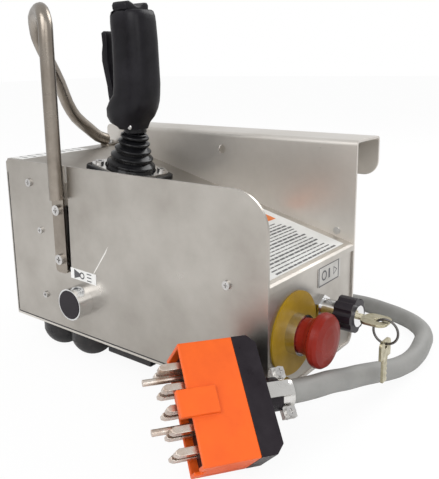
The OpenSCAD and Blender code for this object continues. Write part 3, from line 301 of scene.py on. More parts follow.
class PaintShop:
    """Makes each finish's material once and puts it on pieces."""

    def __init__(self) -> None:
        """Starts with the shared node groups and no materials."""
        self.groups = NodeGroups()
        self.made: dict[str, bpy.types.Material] = {}

    def material(self, finish: Finish) -> bpy.types.Material:
        """Builds a finish's material, or finds it.

        Args:
            finish: the finish that is wanted.

        Returns:
            The material.
        """
        if finish.name not in self.made:
            self.made[finish.name] = self._build(finish)
        return self.made[finish.name]

    def _build(self, finish: Finish) -> bpy.types.Material:
        """Builds a material with clouded colour, varied roughness and a fine relief.

        Args:
            finish: the finish that it shows.

        Returns:
            The new material.
        """
        material = bpy.data.materials.new(finish.name)
        material.use_nodes = True
        tree = material.node_tree
        shader = tree.nodes["Principled BSDF"]
        shader.inputs["Metallic"].default_value = finish.metallic
        shader.inputs["Coat Weight"].default_value = finish.coat
        shader.inputs["Specular IOR Level"].default_value = finish.specular
        place = tree.nodes.new("ShaderNodeTexCoord").outputs["Object"]
        stretch = tree.nodes.new("ShaderNodeMapping")
        stretch.inputs["Scale"].default_value = finish.stretch()
        clouds = self._use(tree, self.groups.clouds, Scale=finish.cloud_scale, Colour=(*finish.colour, 1),
                           Shade=(*finish.shade, 1))
        grain = self._use(tree, self.groups.grain, Scale=finish.grain_scale)
        marks = self._use(tree, self.groups.scratches, Amount=finish.scratches)
        rough = tree.nodes.new("ShaderNodeMapRange")
        rough.inputs["To Min"].default_value = finish.smooth
        rough.inputs["To Max"].default_value = finish.rough
        marked = tree.nodes.new("ShaderNodeMath")
        marked.operation = "MULTIPLY_ADD"
        marked.inputs[1].default_value = SCRATCH_POLISH
        bump = tree.nodes.new("ShaderNodeBump")
        bump.inputs["Strength"].default_value = finish.relief
        bump.inputs["Distance"].default_value = RELIEF_DEPTH * MM
        tree.links.new(place, clouds.inputs["Vector"])
        tree.links.new(place, stretch.inputs["Vector"])
        tree.links.new(place, marks.inputs["Vector"])
        tree.links.new(stretch.outputs["Vector"], grain.inputs["Vector"])
        tree.links.new(clouds.outputs["Mask"], rough.inputs["Value"])
        tree.links.new(marks.outputs["Mask"], marked.inputs[0])
        tree.links.new(rough.outputs["Result"], marked.inputs[2])
        tree.links.new(marked.outputs["Value"], shader.inputs["Roughness"])
        tree.links.new(clouds.outputs["Colour"], shader.inputs["Base Color"])
        tree.links.new(grain.outputs["Height"], bump.inputs["Height"])
        tree.links.new(bump.outputs["Normal"], shader.inputs["Normal"])
        return material

    @staticmethod
    def _use(tree: bpy.types.NodeTree, group: bpy.types.NodeTree, **values: object) -> bpy.types.Node:
        """Places a shared group in a material and sets its values.

        Args:
            tree: the material's node tree.
            group: the group.
            values: what its inputs are set to, by their names.

        Returns:
            The node that holds the group.
        """
        node = tree.nodes.new("ShaderNodeGroup")
        node.node_tree = group
        for label, value in values.items():
            node.inputs[label].default_value = value
        return node

    def coat(self, piece: bpy.types.Object, finish: Finish) -> None:
        """Puts a finish on the whole of a piece.

        Args:
            piece: a mesh or curve.
            finish: its finish.
        """
        piece.data.materials.clear()
        piece.data.materials.append(self.material(finish))


def upright_place(along: float, across: float, up: float) -> Matrix:
    """Returns the unturned frame that stands at a place given in millimetres."""
    return Matrix.Translation(Vector((along, across, up)) * MM)


def slope_place(along: float, across: float, up: float) -> Matrix:
    """Returns the frame that stands on the slope at a place given in millimetres."""
    return upright_place(along, across, up) @ Matrix.Rotation(SLOPE, 4, "Y")


def make_piece(name: str, mesh: bmesh.types.BMesh, place: Matrix | None = None,
               smooth_angle: float = 35) -> bpy.types.Object:
    """Turns a bmesh into an object at the origin.

    Args:
        name: the piece's name.
        mesh: its shape, in millimetres, which is freed.
        place: where its own frame stands, in metres.
        smooth_angle: edges sharper than this many degrees stay sharp.

    Returns:
        The new object.
    """
    bmesh.ops.scale(mesh, vec=(MM, MM, MM), verts=mesh.verts)
    if place is not None:
        bmesh.ops.transform(mesh, matrix=place, verts=mesh.verts)
    bmesh.ops.recalc_face_normals(mesh, faces=mesh.faces)
    data = bpy.data.meshes.new(name)
    mesh.to_mesh(data)
    mesh.free()
    data.shade_smooth()
    data.set_sharp_from_angle(angle=math.radians(smooth_angle))
    piece = bpy.data.objects.new(name, data)
    bpy.context.scene.collection.objects.link(piece)
    return piece


def round_edges(mesh: bmesh.types.BMesh, edges: list[bmesh.types.BMEdge], width: float,
                steps: int = ROUND_STEPS) -> None:
    """Rounds some edges of a bmesh.

    Args:
        mesh: the bmesh.
        edges: the edges.
        width: how far they are rounded.
        steps: the segments of each round.
    """
    bmesh.ops.bevel(mesh, geom=edges, offset=width, segments=steps, profile=0.5, affect="EDGES", material=-1)


def add_box(mesh: bmesh.types.BMesh, size: Triple, centre: Triple, edge: float = 0.0) -> None:
    """Adds a box with rounded edges.

    Args:
        mesh: the bmesh that it goes in.
        size: its sides.
        centre: its middle.
        edge: how far its edges are rounded, or 0.
    """
    verts = bmesh.ops.create_cube(mesh, size=1)["verts"]
    bmesh.ops.scale(mesh, vec=size, verts=verts)
    bmesh.ops.translate(mesh, vec=centre, verts=verts)
    if edge:
        round_edges(mesh, list({e for v in verts for e in v.link_edges}), edge)


def add_slab(mesh: bmesh.types.BMesh, outline: list[Triple], depth: Triple, edge: float = 0.0) -> None:
    """Adds a flat outline that is drawn out into a slab.

    Args:
        mesh: the bmesh that it goes in.
        outline: the corners of its first face.
        depth: the way from that face to the one across from it.
        edge: how far the rims of both faces are rounded, or 0.
    """
    face = mesh.faces.new([mesh.verts.new(corner) for corner in outline])
    grown = bmesh.ops.extrude_face_region(mesh, geom=[face])["geom"]
    bmesh.ops.translate(mesh, vec=depth, verts=[v for v in grown if isinstance(v, bmesh.types.BMVert)])
    if edge:
        way = Vector(depth)
        rims = [e for e in mesh.edges if abs((e.verts[1].co - e.verts[0].co).dot(way)) < WELD]
        round_edges(mesh, rims, edge)


def add_spun(mesh: bmesh.types.BMesh, profile: Iterable[Point], steps: int = 48) -> None:
    """Adds a turned shape.

    Args:
        mesh: the bmesh that it goes in.
        profile: radius and height of each point of its outline.
        steps: segments of the full turn.
    """
    verts = [mesh.verts.new((r, 0, z)) for r, z in profile]
    edges = [mesh.edges.new(pair) for pair in zip(verts, verts[1:])]
    bmesh.ops.spin(mesh, geom=verts + edges, cent=(0, 0, 0), axis=(0, 0, 1), angle=math.tau, steps=steps,
                   use_merge=True)
    bmesh.ops.remove_doubles(mesh, verts=mesh.verts, dist=WELD / 2)


def soften(piece: bpy.types.Object, width: float, angle: float, steps: int = ROUND_STEPS) -> None:
    """Rounds a piece's sharp edges with a modifier.

    Args:
        piece: the piece.
        width: how far they are rounded, in millimetres.
        angle: edges sharper than this many degrees are rounded.
        steps: the segments of each round.
    """
    bevel = piece.modifiers.new("rounded_edges", "BEVEL")
    bevel.width = width * MM
    bevel.segments = steps
    bevel.limit_method = "ANGLE"
    bevel.angle_limit = math.radians(angle)
    bevel.harden_normals = True


def merged_copy(node: bpy.types.Object, name: str, edge: float, smooth_angle: float) -> bpy.types.Object:
    """Copies a node's shape as one closed mesh, with rounded edges.

    Args:
        node: the node whose shape is right.
        name: the copy's name.
        edge: how far its edges are rounded, in millimetres, or 0.
        smooth_angle: edges sharper than this many degrees stay sharp.

    Returns:
        The copy.
    """
    mesh = bmesh.new()
    mesh.from_mesh(node.data)
    bmesh.ops.remove_doubles(mesh, verts=mesh.verts, dist=WELD * MM)
    bmesh.ops.dissolve_limit(mesh, angle_limit=FLAT_ENOUGH, verts=mesh.verts, edges=mesh.edges)
    bmesh.ops.scale(mesh, vec=(1 / MM, 1 / MM, 1 / MM), verts=mesh.verts)
    piece = make_piece(name, mesh, smooth_angle=smooth_angle)
    if edge:
        soften(piece, edge, smooth_angle)
    return piece


def carve(piece: bpy.types.Object, mesh: bmesh.types.BMesh, place: Matrix) -> None:
    """Cuts a shape out of a piece.

    Args:
        piece: the piece that loses material.
        mesh: what is cut out, in millimetres.
        place: where the cutting shape's frame stands.
    """
    tool = make_piece("cutter", mesh, place)
    cut = piece.modifiers.new("cut", "BOOLEAN")
    cut.object = tool
    cut.solver = "EXACT"
    bpy.context.view_layer.update()
    shape = bpy.data.meshes.new_from_object(piece.evaluated_get(bpy.context.evaluated_depsgraph_get()))
    piece.modifiers.clear()
    piece.data = shape
    bpy.data.objects.remove(tool)


@dataclass
class Joystick:
    """Rubber boot with its bellows, and the grip with its trigger and thumb rocker; sizes in millimetres."""

    shop: PaintShop
    base: Triple = (-55.0, 7.0, 158.06)
    tip: Triple = (-45.6, 7.0, 199.31)
    neck_steps: int = 40
    flange_side: float = 60.0
    flange_t: float = 4.0
    flange_corner: float = 6.0
    flange_corner_steps: int = 6
    flange_rim: float = 0.8
    flange_rim_steps: int = 2
    boot_top: float = 39.4
    folds: tuple[Point, ...] = ((22.2, 9.7), (19.4, 16.5), (16.6, 23.3), (14.4, 29.8), (12.9, 35.4))
    fold_arc: tuple[float, ...] = (-80, -45, -10, 25, 60, 90)
    fold_round: float = 1.5
    fold_inset: float = 1.3
    fold_depth: float = 4.1
    valley_lift: float = 0.6
    grip_h: float = 102.0
    grip_steps: int = 40
    squareness: float = 3.0
    slot_size: Triple = (40.0, 15.0, 71.0)
    slot_middle: Triple = (-37.0, 0.0, 51.5)
    slot_edge: float = 1.5
    pocket_size: Triple = (17.6, 30.6, 21.0)
    pocket_edge: float = 0.8
    rocker_l: float = 17.0
    rocker_edge: float = 1.3
    trigger_w: float = 13.8
    trigger_edge: float = 1.2
    screw_r: float = 2.2
    screw_at: Triple = (4.6, -11.2, 2.4)

    def build(self) -> list[bpy.types.Object]:
        """Builds the boot and the hand-held pieces.

        Returns:
            The pieces; all but the boot ride on their bodies.
        """
        return [self.boot(), self.grip(), self.rocker(), self.trigger(), self.screw(), self.neck()]

    def neck(self) -> bpy.types.Object:
        """Builds the short black sleeve between the grip and the boot.

        Returns:
            The sleeve.
        """
        mesh = bmesh.new()
        add_spun(mesh, [(9.4, -3.6), (10.2, -3.2), (10.2, 0.4), (0, 0.4)], self.neck_steps)
        piece = make_piece("grip_neck_sleeve", mesh, upright_place(*self.tip), 50)
        self.shop.coat(piece, FINISHES["boot_rubber"])
        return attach(piece, "joystick")

    def boot(self) -> bpy.types.Object:
        """Builds the boot: a square flange with raised rims and a stack of soft folds.

        Returns:
            The boot.
        """
        mesh = bmesh.new()
        add_box(mesh, (self.flange_side, self.flange_side, self.flange_t), (0, 0, self.flange_t / 2))
        half = self.flange_t / 2
        corners = [e for e in mesh.edges if abs(e.verts[0].co.z - e.verts[1].co.z) > half]
        round_edges(mesh, corners, self.flange_corner, self.flange_corner_steps)
        rims = [e for e in mesh.edges if all(v.co.z > half for v in e.verts)]
        round_edges(mesh, rims, self.flange_rim, self.flange_rim_steps)
        add_spun(mesh, self.bellows())
        piece = make_piece("boot_bellows", mesh, slope_place(*self.base), 50)
        self.shop.coat(piece, FINISHES["boot_rubber"])
        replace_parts(piece, "boot")
        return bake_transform(piece)

    def bellows(self) -> list[Point]:
        """Works out the bellows' outline: round ridges that shrink upwards, with tight valleys between.

        Returns:
            The radius and height of each of its points, from the flange up.
        """
        outline = [(0, self.flange_t - 1), (23.2, self.flange_t - 1), (23.0, self.flange_t + 1.2)]
        ends = [height for _, height in self.folds[1:]] + [self.boot_top]
        for (radius, height), after in zip(self.folds, ends):
            for angle in map(math.radians, self.fold_arc):
                outline.append((radius - self.fold_inset + self.fold_round * math.cos(angle),
                                height + self.fold_round * math.sin(angle)))
            outline.append((radius - self.fold_depth, (height + after) / 2 + self.valley_lift))
        return outline + [(10.6, self.boot_top - 0.8), (9.8, self.boot_top), (0, self.boot_top)]

    def sections(self) -> list[tuple[float, float, float, float]]:
        """Lists the grip's sections, from its foot up.

        Returns:
            The half length, half width, shift along X and height of each.
        """
        h = self.grip_h
        return [
            (11.5, 11.5, -2.0, 0.0), (13.0, 12.3, -2.6, 0.02 * h), (18.0, 14.0, -6.0, 0.055 * h),
            (22.4, 15.8, -5.0, 0.11 * h), (23.9, 17.2, -2.8, 0.18 * h), (22.6, 17.6, 0.2, 0.24 * h),
            (19.8, 17.5, 3.4, 0.30 * h), (19.4, 17.4, 4.4, 0.39 * h), (19.2, 17.0, 4.2, 0.55 * h),
            (18.9, 16.8, 3.8, 0.75 * h), (18.8, 16.7, 2.6, 0.90 * h), (18.4, 16.4, 2.2, 0.955 * h),
            (17.4, 15.4, 2.0, 0.99 * h), (16.0, 14.0, 2.0, h),
        ]

    def grip(self) -> bpy.types.Object:
        """Builds the grip: a hand-shaped body with the trigger's slot and the rocker's pocket.

        Returns:
            The grip.
        """
        mesh = bmesh.new()
        loops = []
        for half_l, half_w, shift, height in self.sections():
            ring = bmesh.ops.create_circle(mesh, segments=self.grip_steps, radius=1)["verts"]
            for v in ring:
                c, s = v.co.x, v.co.y
                power = self.squareness
                reach = (abs(c) ** power + abs(s) ** power) ** (-1 / power)
                v.co = Vector((shift + half_l * c * reach, half_w * s * reach, height))
            loops.append([e for v in ring for e in v.link_edges if e.is_boundary or e.is_wire])
        for below, above in zip(loops, loops[1:]):
            bmesh.ops.bridge_loops(mesh, edges=list(set(below + above)))
        for ends in (loops[0], loops[-1]):
            bmesh.ops.contextual_create(mesh, geom=list(set(ends)))
        place = upright_place(*self.tip)
        piece = make_piece("grip_shell", mesh, place, 40)
        slot = bmesh.new()
        add_box(slot, self.slot_size, self.slot_middle, self.slot_edge)
        carve(piece, slot, place)
        pocket = bmesh.new()
        add_box(pocket, self.pocket_size, (0, 0, self.grip_h), self.pocket_edge)
        carve(piece, pocket, place)
        piece.data.set_sharp_from_angle(angle=math.radians(40))
        self.shop.coat(piece, FINISHES["grip_plastic"])
        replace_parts(piece, "grip")
        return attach(piece, "joystick")

    def rocker(self) -> bpy.types.Object:
        """Builds the thumb rocker: a saddle with a broad hump and a small one.

        Returns:
            The rocker.
        """
        outline = [
            (-14, 1.2), (-14.4, 4.2), (-13, 6.6), (-9.5, 7.4), (-5, 5.6), (-1, 3.4), (3, 3.0), (6.5, 4.4),
            (9.5, 6.6), (12.6, 6.6), (14.2, 4.4), (14, 1.2), (12, -2.2), (4, -6.4), (-4, -6.4), (-12, -2.2),
        ]
        mesh = bmesh.new()
        rim = [(-self.rocker_l / 2, y, self.grip_h + z) for y, z in outline]
        add_slab(mesh, rim, (self.rocker_l, 0, 0), self.rocker_edge)
        piece = make_piece("thumb_rocker", mesh, upright_place(*self.tip), 50)
        self.shop.coat(piece, FINISHES["grip_plastic"])
        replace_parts(piece, "rocker")
        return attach(piece, "rocker")

    def trigger(self) -> bpy.types.Object:
        """Builds the trigger: a long curved lever with rounded edges, which leaves a gap beside the grip.

        Returns:
            The trigger.
        """
        outline = [
            (-31.6, 84.5), (-28.6, 86), (-26, 85.3), (-24.8, 82), (-25.2, 62), (-22.6, 46), (-20.2, 36),
            (-17.8, 24), (-19, 19.4), (-22, 18.4), (-24.6, 20.4), (-26.4, 30), (-27.2, 38), (-30.2, 50),
            (-32.4, 60), (-32.2, 67), (-30.8, 74),
        ]
        mesh = bmesh.new()
        rim = [(x, -self.trigger_w / 2, z) for x, z in outline]
        add_slab(mesh, rim, (0, self.trigger_w, 0), self.trigger_edge)
        piece = make_piece("finger_trigger", mesh, upright_place(*self.tip), 40)
        self.shop.coat(piece, FINISHES["grip_plastic"])
        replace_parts(piece, "trigger")
        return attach(piece, "trigger")

    def screw(self) -> bpy.types.Object:
        """Builds the small bright screw low in the grip's side.

        Returns:
            The screw.
        """
        mesh = bmesh.new()
        r = self.screw_r
        add_spun(mesh, [(0, 0), (r, 0), (r, 0.6), (r - 0.4, 0.9), (0, 0.9)], 24)
        outwards = Matrix.Rotation(math.radians(90), 3, "X")
        bmesh.ops.rotate(mesh, cent=(0, 0, 0), matrix=outwards, verts=mesh.verts)
        bmesh.ops.translate(mesh, vec=self.screw_at, verts=mesh.verts)
        piece = make_piece("grip_screw", mesh, upright_place(*self.tip))
        self.shop.coat(piece, FINISHES["fastener_steel"])
        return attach(piece, "joystick")


@dataclass
class Cable:
    """The grey cable, from its gland behind the casing round to the plug's cap; sizes in millimetres."""

    shop: PaintShop
    diameter: float = 16.0
    round_steps: int = 8
    path_steps: int = 10
    curve_share: float = 1.002
    on_it: tuple[str, ...] = (
        "plug_body", "plug_insert", "plug_blades", "guide_pins", "plug_cap", "cable_clamp", "clamp_screws",
    )

    @staticmethod
    def route() -> list[Triple]:
        """Lists the points that the cable follows.

        Returns:
            The points, gland first.
        """
        return [
            (26.5, 85, 44), (26.5, 97, 44), (26.5, 113, 40), (28, 131, 32), (34, 151, 22), (45, 168, 14),
            (63, 180, 9.5), (84, 186, 8), (104, 187, 8), (124, 183, 8), (143, 177, 8), (160, 167, 8),
            (173.5, 150, 8), (181, 124, 8), (184, 96, 8), (183.5, 72, 11), (182, 50, 16), (179.5, 28, 22),
            (176.5, 8, 27), (174, -10, 31), (171, -28, 35.5), (166.8, -46, 38), (161.05, -62.18, 39.98),
            (148.54, -82.64, 41.02),
        ]

    def build(self) -> list[bpy.types.Object]:
        """Builds the cable as a round tube along its route.

        Returns:
            The cable.
        """
        line = bpy.data.curves.new("cable_jacket", "CURVE")
        line.dimensions = "3D"
        line.bevel_depth = self.diameter / 2 * MM
        line.bevel_resolution = self.round_steps
        line.use_fill_caps = True
        line.resolution_u = self.path_steps
        spline = line.splines.new("BEZIER")
        points = self.route()
        spline.bezier_points.add(len(points) - 1)
        for knot, place in zip(spline.bezier_points, points):
            knot.co = Vector(place) * MM
            knot.handle_left_type = knot.handle_right_type = "AUTO"
        piece = bpy.data.objects.new("cable_jacket", line)
        bpy.context.scene.collection.objects.link(piece)
        self.shop.coat(piece, FINISHES["cable_grey"])
        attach(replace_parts(piece, "cable"), "casing")
        return [piece]

    def length(self, points: list[Triple]) -> float:
        """Returns the route's length in metres, with a little more for its curves."""
        straight = sum((Vector(b) - Vector(a)).length for a, b in zip(points, points[1:]))
        return straight * MM * self.curve_share


@dataclass(frozen=True)
class SheetSeam:
    """A flat face across the folded sheet, where two of its nodes meet; places in millimetres."""

    axis: int
    at: float
    low: float
    high: float
    slack: float = 0.01
    squarely: float = 0.99

    def holds(self, face: bmesh.types.BMFace) -> bool:
        """Tells whether a face lies in the seam.

        Args:
            face: a face of the sheet.

        Returns:
            True where it does.
        """
        middle = face.calc_center_median()
        other = middle[Y_AXIS + Z_AXIS - self.axis]
        return (abs(middle[self.axis] - self.at) < self.slack and abs(face.normal[self.axis]) > self.squarely
                and self.low - self.slack < other < self.high + self.slack)


@dataclass
class Copies:
    """Pieces whose node has the right shape and only wants round edges; sizes in millimetres."""

    shop: PaintShop
    nodes: dict[str, bpy.types.Object]
    bodies: dict[str, str]
    slots: dict[str, str]
    sheet_parts: tuple[str, ...] = ("base_sheet", "base_bend", "back_wall", "hook_top", "hook_lip")
    sheet_seams: tuple[SheetSeam, ...] = (
        SheetSeam(Z_AXIS, 32.0, 63.0, 65.0), SheetSeam(Y_AXIS, 57.0, 24.0, 26.0),
        SheetSeam(Z_AXIS, 190.0, 63.0, 106.0),
    )
    sheet_edge: float = 0.25
    sheet_edge_steps: int = 2
    sheet_smooth_angle: float = 20.0
    sheet_sharp_angle: float = 50.0

    def build(self) -> list[bpy.types.Object]:
        """Copies each such node.

        Returns:
            The copies, which stand for their nodes.
        """
        return [self.copy(node, *how) for node, how in COPY_EDGES.items()] + [self.folded_sheet()]

    def folded_sheet(self) -> bpy.types.Object:
        """Joins the flats and bends of the folded sheet into the one piece that it is.

        Returns:
            The base, back wall and rail hook as one sheet with round edges.
        """
        mesh = bmesh.new()
        for part in self.sheet_parts:
            mesh.from_mesh(self.nodes[part].data)
        bmesh.ops.scale(mesh, vec=(1 / MM, 1 / MM, 1 / MM), verts=mesh.verts)
        bmesh.ops.remove_doubles(mesh, verts=mesh.verts, dist=WELD)
        mesh.normal_update()
        inner = [face for face in mesh.faces if any(seam.holds(face) for seam in self.sheet_seams)]
        bmesh.ops.delete(mesh, geom=inner, context="FACES_ONLY")
        bmesh.ops.dissolve_limit(mesh, angle_limit=FLAT_ENOUGH, verts=mesh.verts, edges=mesh.edges)
        piece = make_piece("folded_sheet_finished", mesh, smooth_angle=self.sheet_smooth_angle)
        soften(piece, self.sheet_edge, self.sheet_sharp_angle, self.sheet_edge_steps)
        # the lighter sheet colour is painted light for the dimly lit back wall and hook
        self.shop.coat(piece, SHEET_STEEL_PAINTED_LIGHT)
        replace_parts(piece, *self.sheet_parts)
        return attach(piece, "casing")

    def copy(self, node: str, edge: float, smooth_angle: float) -> bpy.types.Object:
        """Copies one node.

        Args:
            node: its name.
            edge: how far its edges are rounded, in millimetres.
            smooth_angle: edges sharper than this many degrees stay sharp.

        Returns:
            The copy.
        """
        piece = merged_copy(self.nodes[node], f"{node}_finished", edge, smooth_angle)
        self.shop.coat(piece, FINISHES[self.slots[node]])
        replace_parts(piece, node)
        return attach(piece, self.bodies[node])


@dataclass
class Prints:
    """Plain marks on the labels and the front plate, with no words, and painted shade in the front plate's
    seams; sizes in millimetres.
    """

    shop: PaintShop
    print_t: float = 0.12
    end_x: float = 142.5
    end_h: float = 110.0
    slope_label_x: float = 100.0
    slope_label_top: float = 0.45
    rows: int = 15
    row_start: float = 36.5
    row_pitch: float = 3.7
    row_left: float = -44.0
    row_right: float = 40.0
    row_ragged: float = 7.0
    dash_w: float = 1.1
    heavy_dash_w: float = 1.7
    dash_least: float = 3.2
    dash_spread: float = 4.6
    dash_gap: float = 0.9
    block_size: Point = (17.0, 90.0)
    block_x: float = -30.0
    strip_rows: int = 8
    strip_pitch: float = 9.0
    strip_start: float = 30.0
    strip_bar_l: float = 10.0
    strip_bar_spread: float = 3.0
    strip_bar_w: float = 1.4
    strip_at: Triple = (-131.5, -20.0, 174.45)
    end_at: Triple = (141.45, 24.0, 96.0)
    frame_size: Point = (32.0, 14.0)
    frame_line: float = 0.9
    horn_at: Triple = (-43.5, -65.36, 80.5)
    horn_turn: float = -1.5
    seam_w: float = 1.1
    seam_t: float = 0.3
    seam_y: float = -64.95

    def build(self) -> list[bpy.types.Object]:
        """Builds the marks.

        Returns:
            The marks on the three labels, on the horn's sticker and on the front plate, with the painted
            shade in its seams.
        """
        return [self.slope_bars(), self.slope_block(), self.strip_bars(), self.end_marks(), self.horn_mark(),
                self.front_scratch(), self.seam_painted_shade()]

    def finish(self, name: str, mesh: bmesh.types.BMesh, place: Matrix, look: Finish) -> bpy.types.Object:
        """Makes a piece of some marks and puts it on the casing.

        Args:
            name: the piece's name.
            mesh: its shape.
            place: where its own frame stands, in metres.
            look: its finish.

        Returns:
            The piece.
        """
        piece = make_piece(name, mesh, place)
        self.shop.coat(piece, look)
        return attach(piece, "casing")

    def label_frame(self) -> Matrix:
        """Returns the frame on the slope's label, near its lower end."""
        rise = (self.end_x - self.slope_label_x) * math.tan(SLOPE)
        return slope_place(self.slope_label_x, 0.0, self.end_h + rise + self.slope_label_top)

    def slope_bars(self) -> bpy.types.Object:
        """Builds rows of dark dashes across the slope's label, which read as print from afar.

        Returns:
            The dashes.
        """
        mesh = bmesh.new()
        for row in range(self.rows):
            x = self.row_start - self.row_pitch * row
            width = self.heavy_dash_w if row % 4 in (0, 3) else self.dash_w
            y, end = self.row_left, self.row_right - self.row_ragged * abs(math.sin(1.7 * row))
            while y < end:
                length = self.dash_least + self.dash_spread * abs(math.sin(12.9 * y + row))
                add_box(mesh, (width, length, self.print_t), (x, y + length / 2, 0))
                y += length + self.dash_gap
        return self.finish("slope_label_bars", mesh, self.label_frame(), PRINT_DARK)

    def slope_block(self) -> bpy.types.Object:
        """Builds the orange block at the label's upper end.

        Returns:
            The block.
        """
        mesh = bmesh.new()
        add_box(mesh, (*self.block_size, self.print_t), (self.block_x, 0, 0))
        return self.finish("slope_label_block", mesh, self.label_frame(), PRINT_ORANGE)

    def strip_bars(self) -> bpy.types.Object:
        """Builds the rows of bars on the level strip's label.

        Returns:
            The bars.
        """
        mesh = bmesh.new()
        for row in range(self.strip_rows):
            length = self.strip_bar_l + self.strip_bar_spread * math.cos(row)
            y = self.strip_start - self.strip_pitch * row
            add_box(mesh, (length, self.strip_bar_w, self.print_t), (0, y, 0))
        return self.finish("strip_label_bars", mesh, upright_place(*self.strip_at), PRINT_DARK)

    def end_marks(self) -> bpy.types.Object:
        """Builds a frame with a circle, a bar and a triangle on the end face's label.

        Returns:
            The marks.
        """
        mesh = bmesh.new()
        for y, corners in ((-8.5, 24), (8.5, 3)):
            there = set(mesh.verts)
            add_spun(mesh, [(2.7, 0), (4.1, 0)], corners)
            bmesh.ops.translate(mesh, vec=(y, 0, 0), verts=[v for v in mesh.verts if v not in there])
        add_box(mesh, (2.2, 7.5, self.print_t), (-0.5, 0, 0))
        wide, high = self.frame_size
        for side in (-1, 1):
            add_box(mesh, (wide, self.frame_line, self.print_t), (-1, 7.3 * side, 0))
            add_box(mesh, (self.frame_line, high, self.print_t), (15.7 * side - 1, 0, 0))
        upright = Matrix(((0, 0, 1, 0), (1, 0, 0, 0), (0, 1, 0, 0), (0, 0, 0, 1)))
        return self.finish("end_label_marks", mesh, upright_place(*self.end_at) @ upright, PRINT_DARK)

    def horn_mark(self) -> bpy.types.Object:
        """Builds a plain horn sign, a bell mouth on a ring with three strokes, on the horn's sticker.

        Returns:
            The sign.
        """
        mesh = bmesh.new()
        add_spun(mesh, [(1.9, 0), (3.1, 0)], 24)
        bmesh.ops.translate(mesh, vec=(-1.5, 0, 0), verts=mesh.verts)
        bell = [(-11.5, 4.2), (-11.5, -4.2), (-4.2, -1.5), (-4.2, 1.5)]
        mesh.faces.new([mesh.verts.new((x, y, self.print_t / 2)) for x, y in bell])
        for y in (-3.0, 0, 3.0):
            add_box(mesh, (5.5, 0.9, self.print_t), (7.5, y, 0))
        turn = Matrix.Rotation(math.radians(self.horn_turn), 4, "Z")
        place = upright_place(*self.horn_at) @ Matrix.Rotation(math.radians(90), 4, "X") @ turn
        return self.finish("horn_sticker_sign", mesh, place, PRINT_DARK)

    def seam_painted_shade(self) -> bpy.types.Object:
        """Builds dark strips in the front plate's seams, along its left and lower edges: painted shade where
        the seams lie in shadow.

        Returns:
            The strips of painted shade.
        """
        mesh = bmesh.new()
        # painted shade: dark strips where the front plate's seams lie in shadow
        add_box(mesh, (self.seam_w, self.seam_t, 134), (-140.6, self.seam_y, 95))
        add_box(mesh, (281, self.seam_t, self.seam_w), (0, self.seam_y, 26.6))
        return self.finish("front_seam_painted_shade", mesh, Matrix.Identity(4), SEAM_PAINTED_SHADE)

    def front_scratch(self) -> bpy.types.Object:
        """Builds the bright scratch that runs up from the horn's sticker.

        Returns:
            The scratch.
        """
        mesh = bmesh.new()
        line = [(-30.8, 85.4), (-29.6, 85.6), (-14.2, 106.0), (-11.0, 112.5)]
        mesh.faces.new([mesh.verts.new((x, -65.04, z)) for x, z in line])
        return self.finish("front_plate_scratch", mesh, Matrix.Identity(4), SCRATCH_BRIGHT)


@dataclass(frozen=True)
class Lamp:
    """A square soft lamp that faces the object, in metres and watts."""

    name: str
    place: Triple
    side: float
    power: float
    aim: Triple = (0.0, 0.0, 0.12)

    def hang(self) -> None:
        """Adds the lamp to the scene."""
        data = bpy.data.lights.new(self.name, "AREA")
        data.energy = self.power
        data.size = self.side
        lamp = bpy.data.objects.new(self.name, data)
        way = Vector(self.aim) - Vector(self.place)
        turn = way.to_track_quat("-Z", "Y").to_matrix().to_4x4()
        lamp.matrix_world = Matrix.Translation(Vector(self.place)) @ turn
        bpy.context.scene.collection.objects.link(lamp)


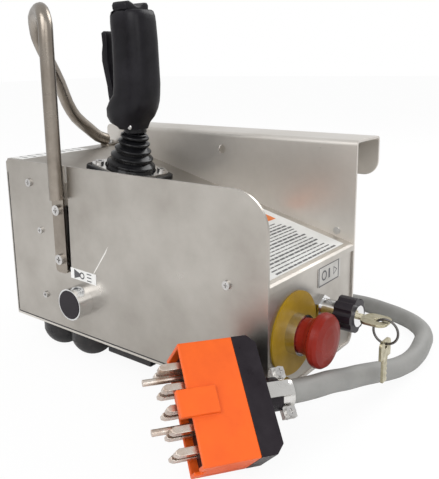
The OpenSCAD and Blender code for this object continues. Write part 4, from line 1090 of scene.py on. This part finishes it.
@dataclass
class Studio:
    """Camera, lamps, world and floor; the camera's figures are in pixels, millimetres and degrees."""

    image_w: float = 439.0
    image_h: float = 479.0
    focal_px: float = 638.785
    centre_px: Point = (194.627, 204.425)
    eye: Triple = (360.35, -404.54, 258.31)
    yaw: float = 39.454
    pitch: float = 12.719
    roll: float = -1.204
    sensor: float = 36.0
    nearest: float = 0.01
    world_light: float = 0.76
    floor_side: float = 8000.0
    floor_white: Triple = (0.86, 0.86, 0.86)
    floor_rough: float = 0.9
    floor_glow: float = 0.93
    lamps: tuple[Lamp, ...] = (
        Lamp("key", (0.15, -1.45, 1.25), 1.3, 17), Lamp("front", (1.25, -0.85, 0.85), 0.9, 5),
        Lamp("back", (0.35, 1.25, 1.25), 1.0, 13),
    )

    def build(self) -> None:
        """Builds everything that isn't part of the object."""
        self.camera()
        self.world()
        self.floor()
        for lamp in self.lamps:
            lamp.hang()

    def camera(self) -> None:
        """Places the camera as the photograph was taken."""
        yaw, pitch, roll = (math.radians(a) for a in (self.yaw, self.pitch, self.roll))
        ahead = Vector((-math.sin(yaw) * math.cos(pitch), math.cos(yaw) * math.cos(pitch), -math.sin(pitch)))
        level = Vector((math.cos(yaw), math.sin(yaw), 0))
        upright = level.cross(ahead)
        right = math.cos(roll) * level + math.sin(roll) * upright
        up = math.cos(roll) * upright - math.sin(roll) * level
        turn = Matrix((right, up, -ahead)).transposed().to_4x4()
        data = bpy.data.cameras.new("camera")
        data.sensor_width = self.sensor
        data.lens = self.focal_px * self.sensor / self.image_h
        data.shift_x = (self.image_w / 2 - self.centre_px[0]) / self.image_h
        data.shift_y = (self.centre_px[1] - self.image_h / 2) / self.image_h
        data.clip_start = self.nearest
        camera = bpy.data.objects.new("camera", data)
        camera.matrix_world = upright_place(*self.eye) @ turn
        bpy.context.scene.collection.objects.link(camera)
        bpy.context.scene.camera = camera

    def world(self) -> None:
        """Makes a white surrounding that lights the object softly."""
        world = bpy.data.worlds.new("studio")
        world.use_nodes = True
        bpy.context.scene.world = world
        tree = world.node_tree
        sky = tree.nodes["Background"]
        path = tree.nodes.new("ShaderNodeLightPath")
        level = tree.nodes.new("ShaderNodeMapRange")
        level.inputs["To Min"].default_value = self.world_light
        sky.inputs["Color"].default_value = (1, 1, 1, 1)
        tree.links.new(path.outputs["Is Camera Ray"], level.inputs["Value"])
        tree.links.new(level.outputs["Result"], sky.inputs["Strength"])

    def floor(self) -> None:
        """Lays a white floor that keeps a soft shadow."""
        mesh = bmesh.new()
        bmesh.ops.create_grid(mesh, x_segments=1, y_segments=1, size=self.floor_side)
        floor = make_piece("floor", mesh)
        material = bpy.data.materials.new("white_floor")
        material.use_nodes = True
        tree = material.node_tree
        cloth = tree.nodes["Principled BSDF"]
        cloth.inputs["Base Color"].default_value = (*self.floor_white, 1)
        cloth.inputs["Roughness"].default_value = self.floor_rough
        glow = tree.nodes.new("ShaderNodeEmission")
        path = tree.nodes.new("ShaderNodeLightPath")
        share = tree.nodes.new("ShaderNodeMath")
        share.operation = "MULTIPLY"
        share.inputs[1].default_value = self.floor_glow
        mix = tree.nodes.new("ShaderNodeMixShader")
        tree.links.new(path.outputs["Is Camera Ray"], share.inputs[0])
        tree.links.new(share.outputs["Value"], mix.inputs["Fac"])
        tree.links.new(cloth.outputs["BSDF"], mix.inputs[1])
        tree.links.new(glow.outputs["Emission"], mix.inputs[2])
        tree.links.new(mix.outputs["Shader"], tree.nodes["Material Output"].inputs["Surface"])
        floor.data.materials.append(material)


def main() -> None:
    """Loads the frame, dresses it and adds the pieces that stand for plain ones."""
    logging.basicConfig(level=logging.INFO, format="%(name)s: %(message)s")
    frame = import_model()
    bpy.context.scene.view_settings.view_transform = "Standard"
    Studio().build()
    shop = PaintShop()
    slots = {part["node"]: part["material_slot"] for part in frame["record"]["subparts"]}
    members = frame["record"]["behaviour"]["bodies"]
    bodies = {node: body for body, nodes in members.items() for node in nodes}
    for name, node in frame["nodes"].items():
        shop.coat(node, FINISHES[slots[name]])
    crews = (Cable(shop), Joystick(shop), Copies(shop, frame["nodes"], bodies, slots), Prints(shop))
    for crew in crews:
        for piece in crew.build():
            LOG.info("%s: %s", type(crew).__name__, piece.name)


if __name__ == "__main__":
    main()
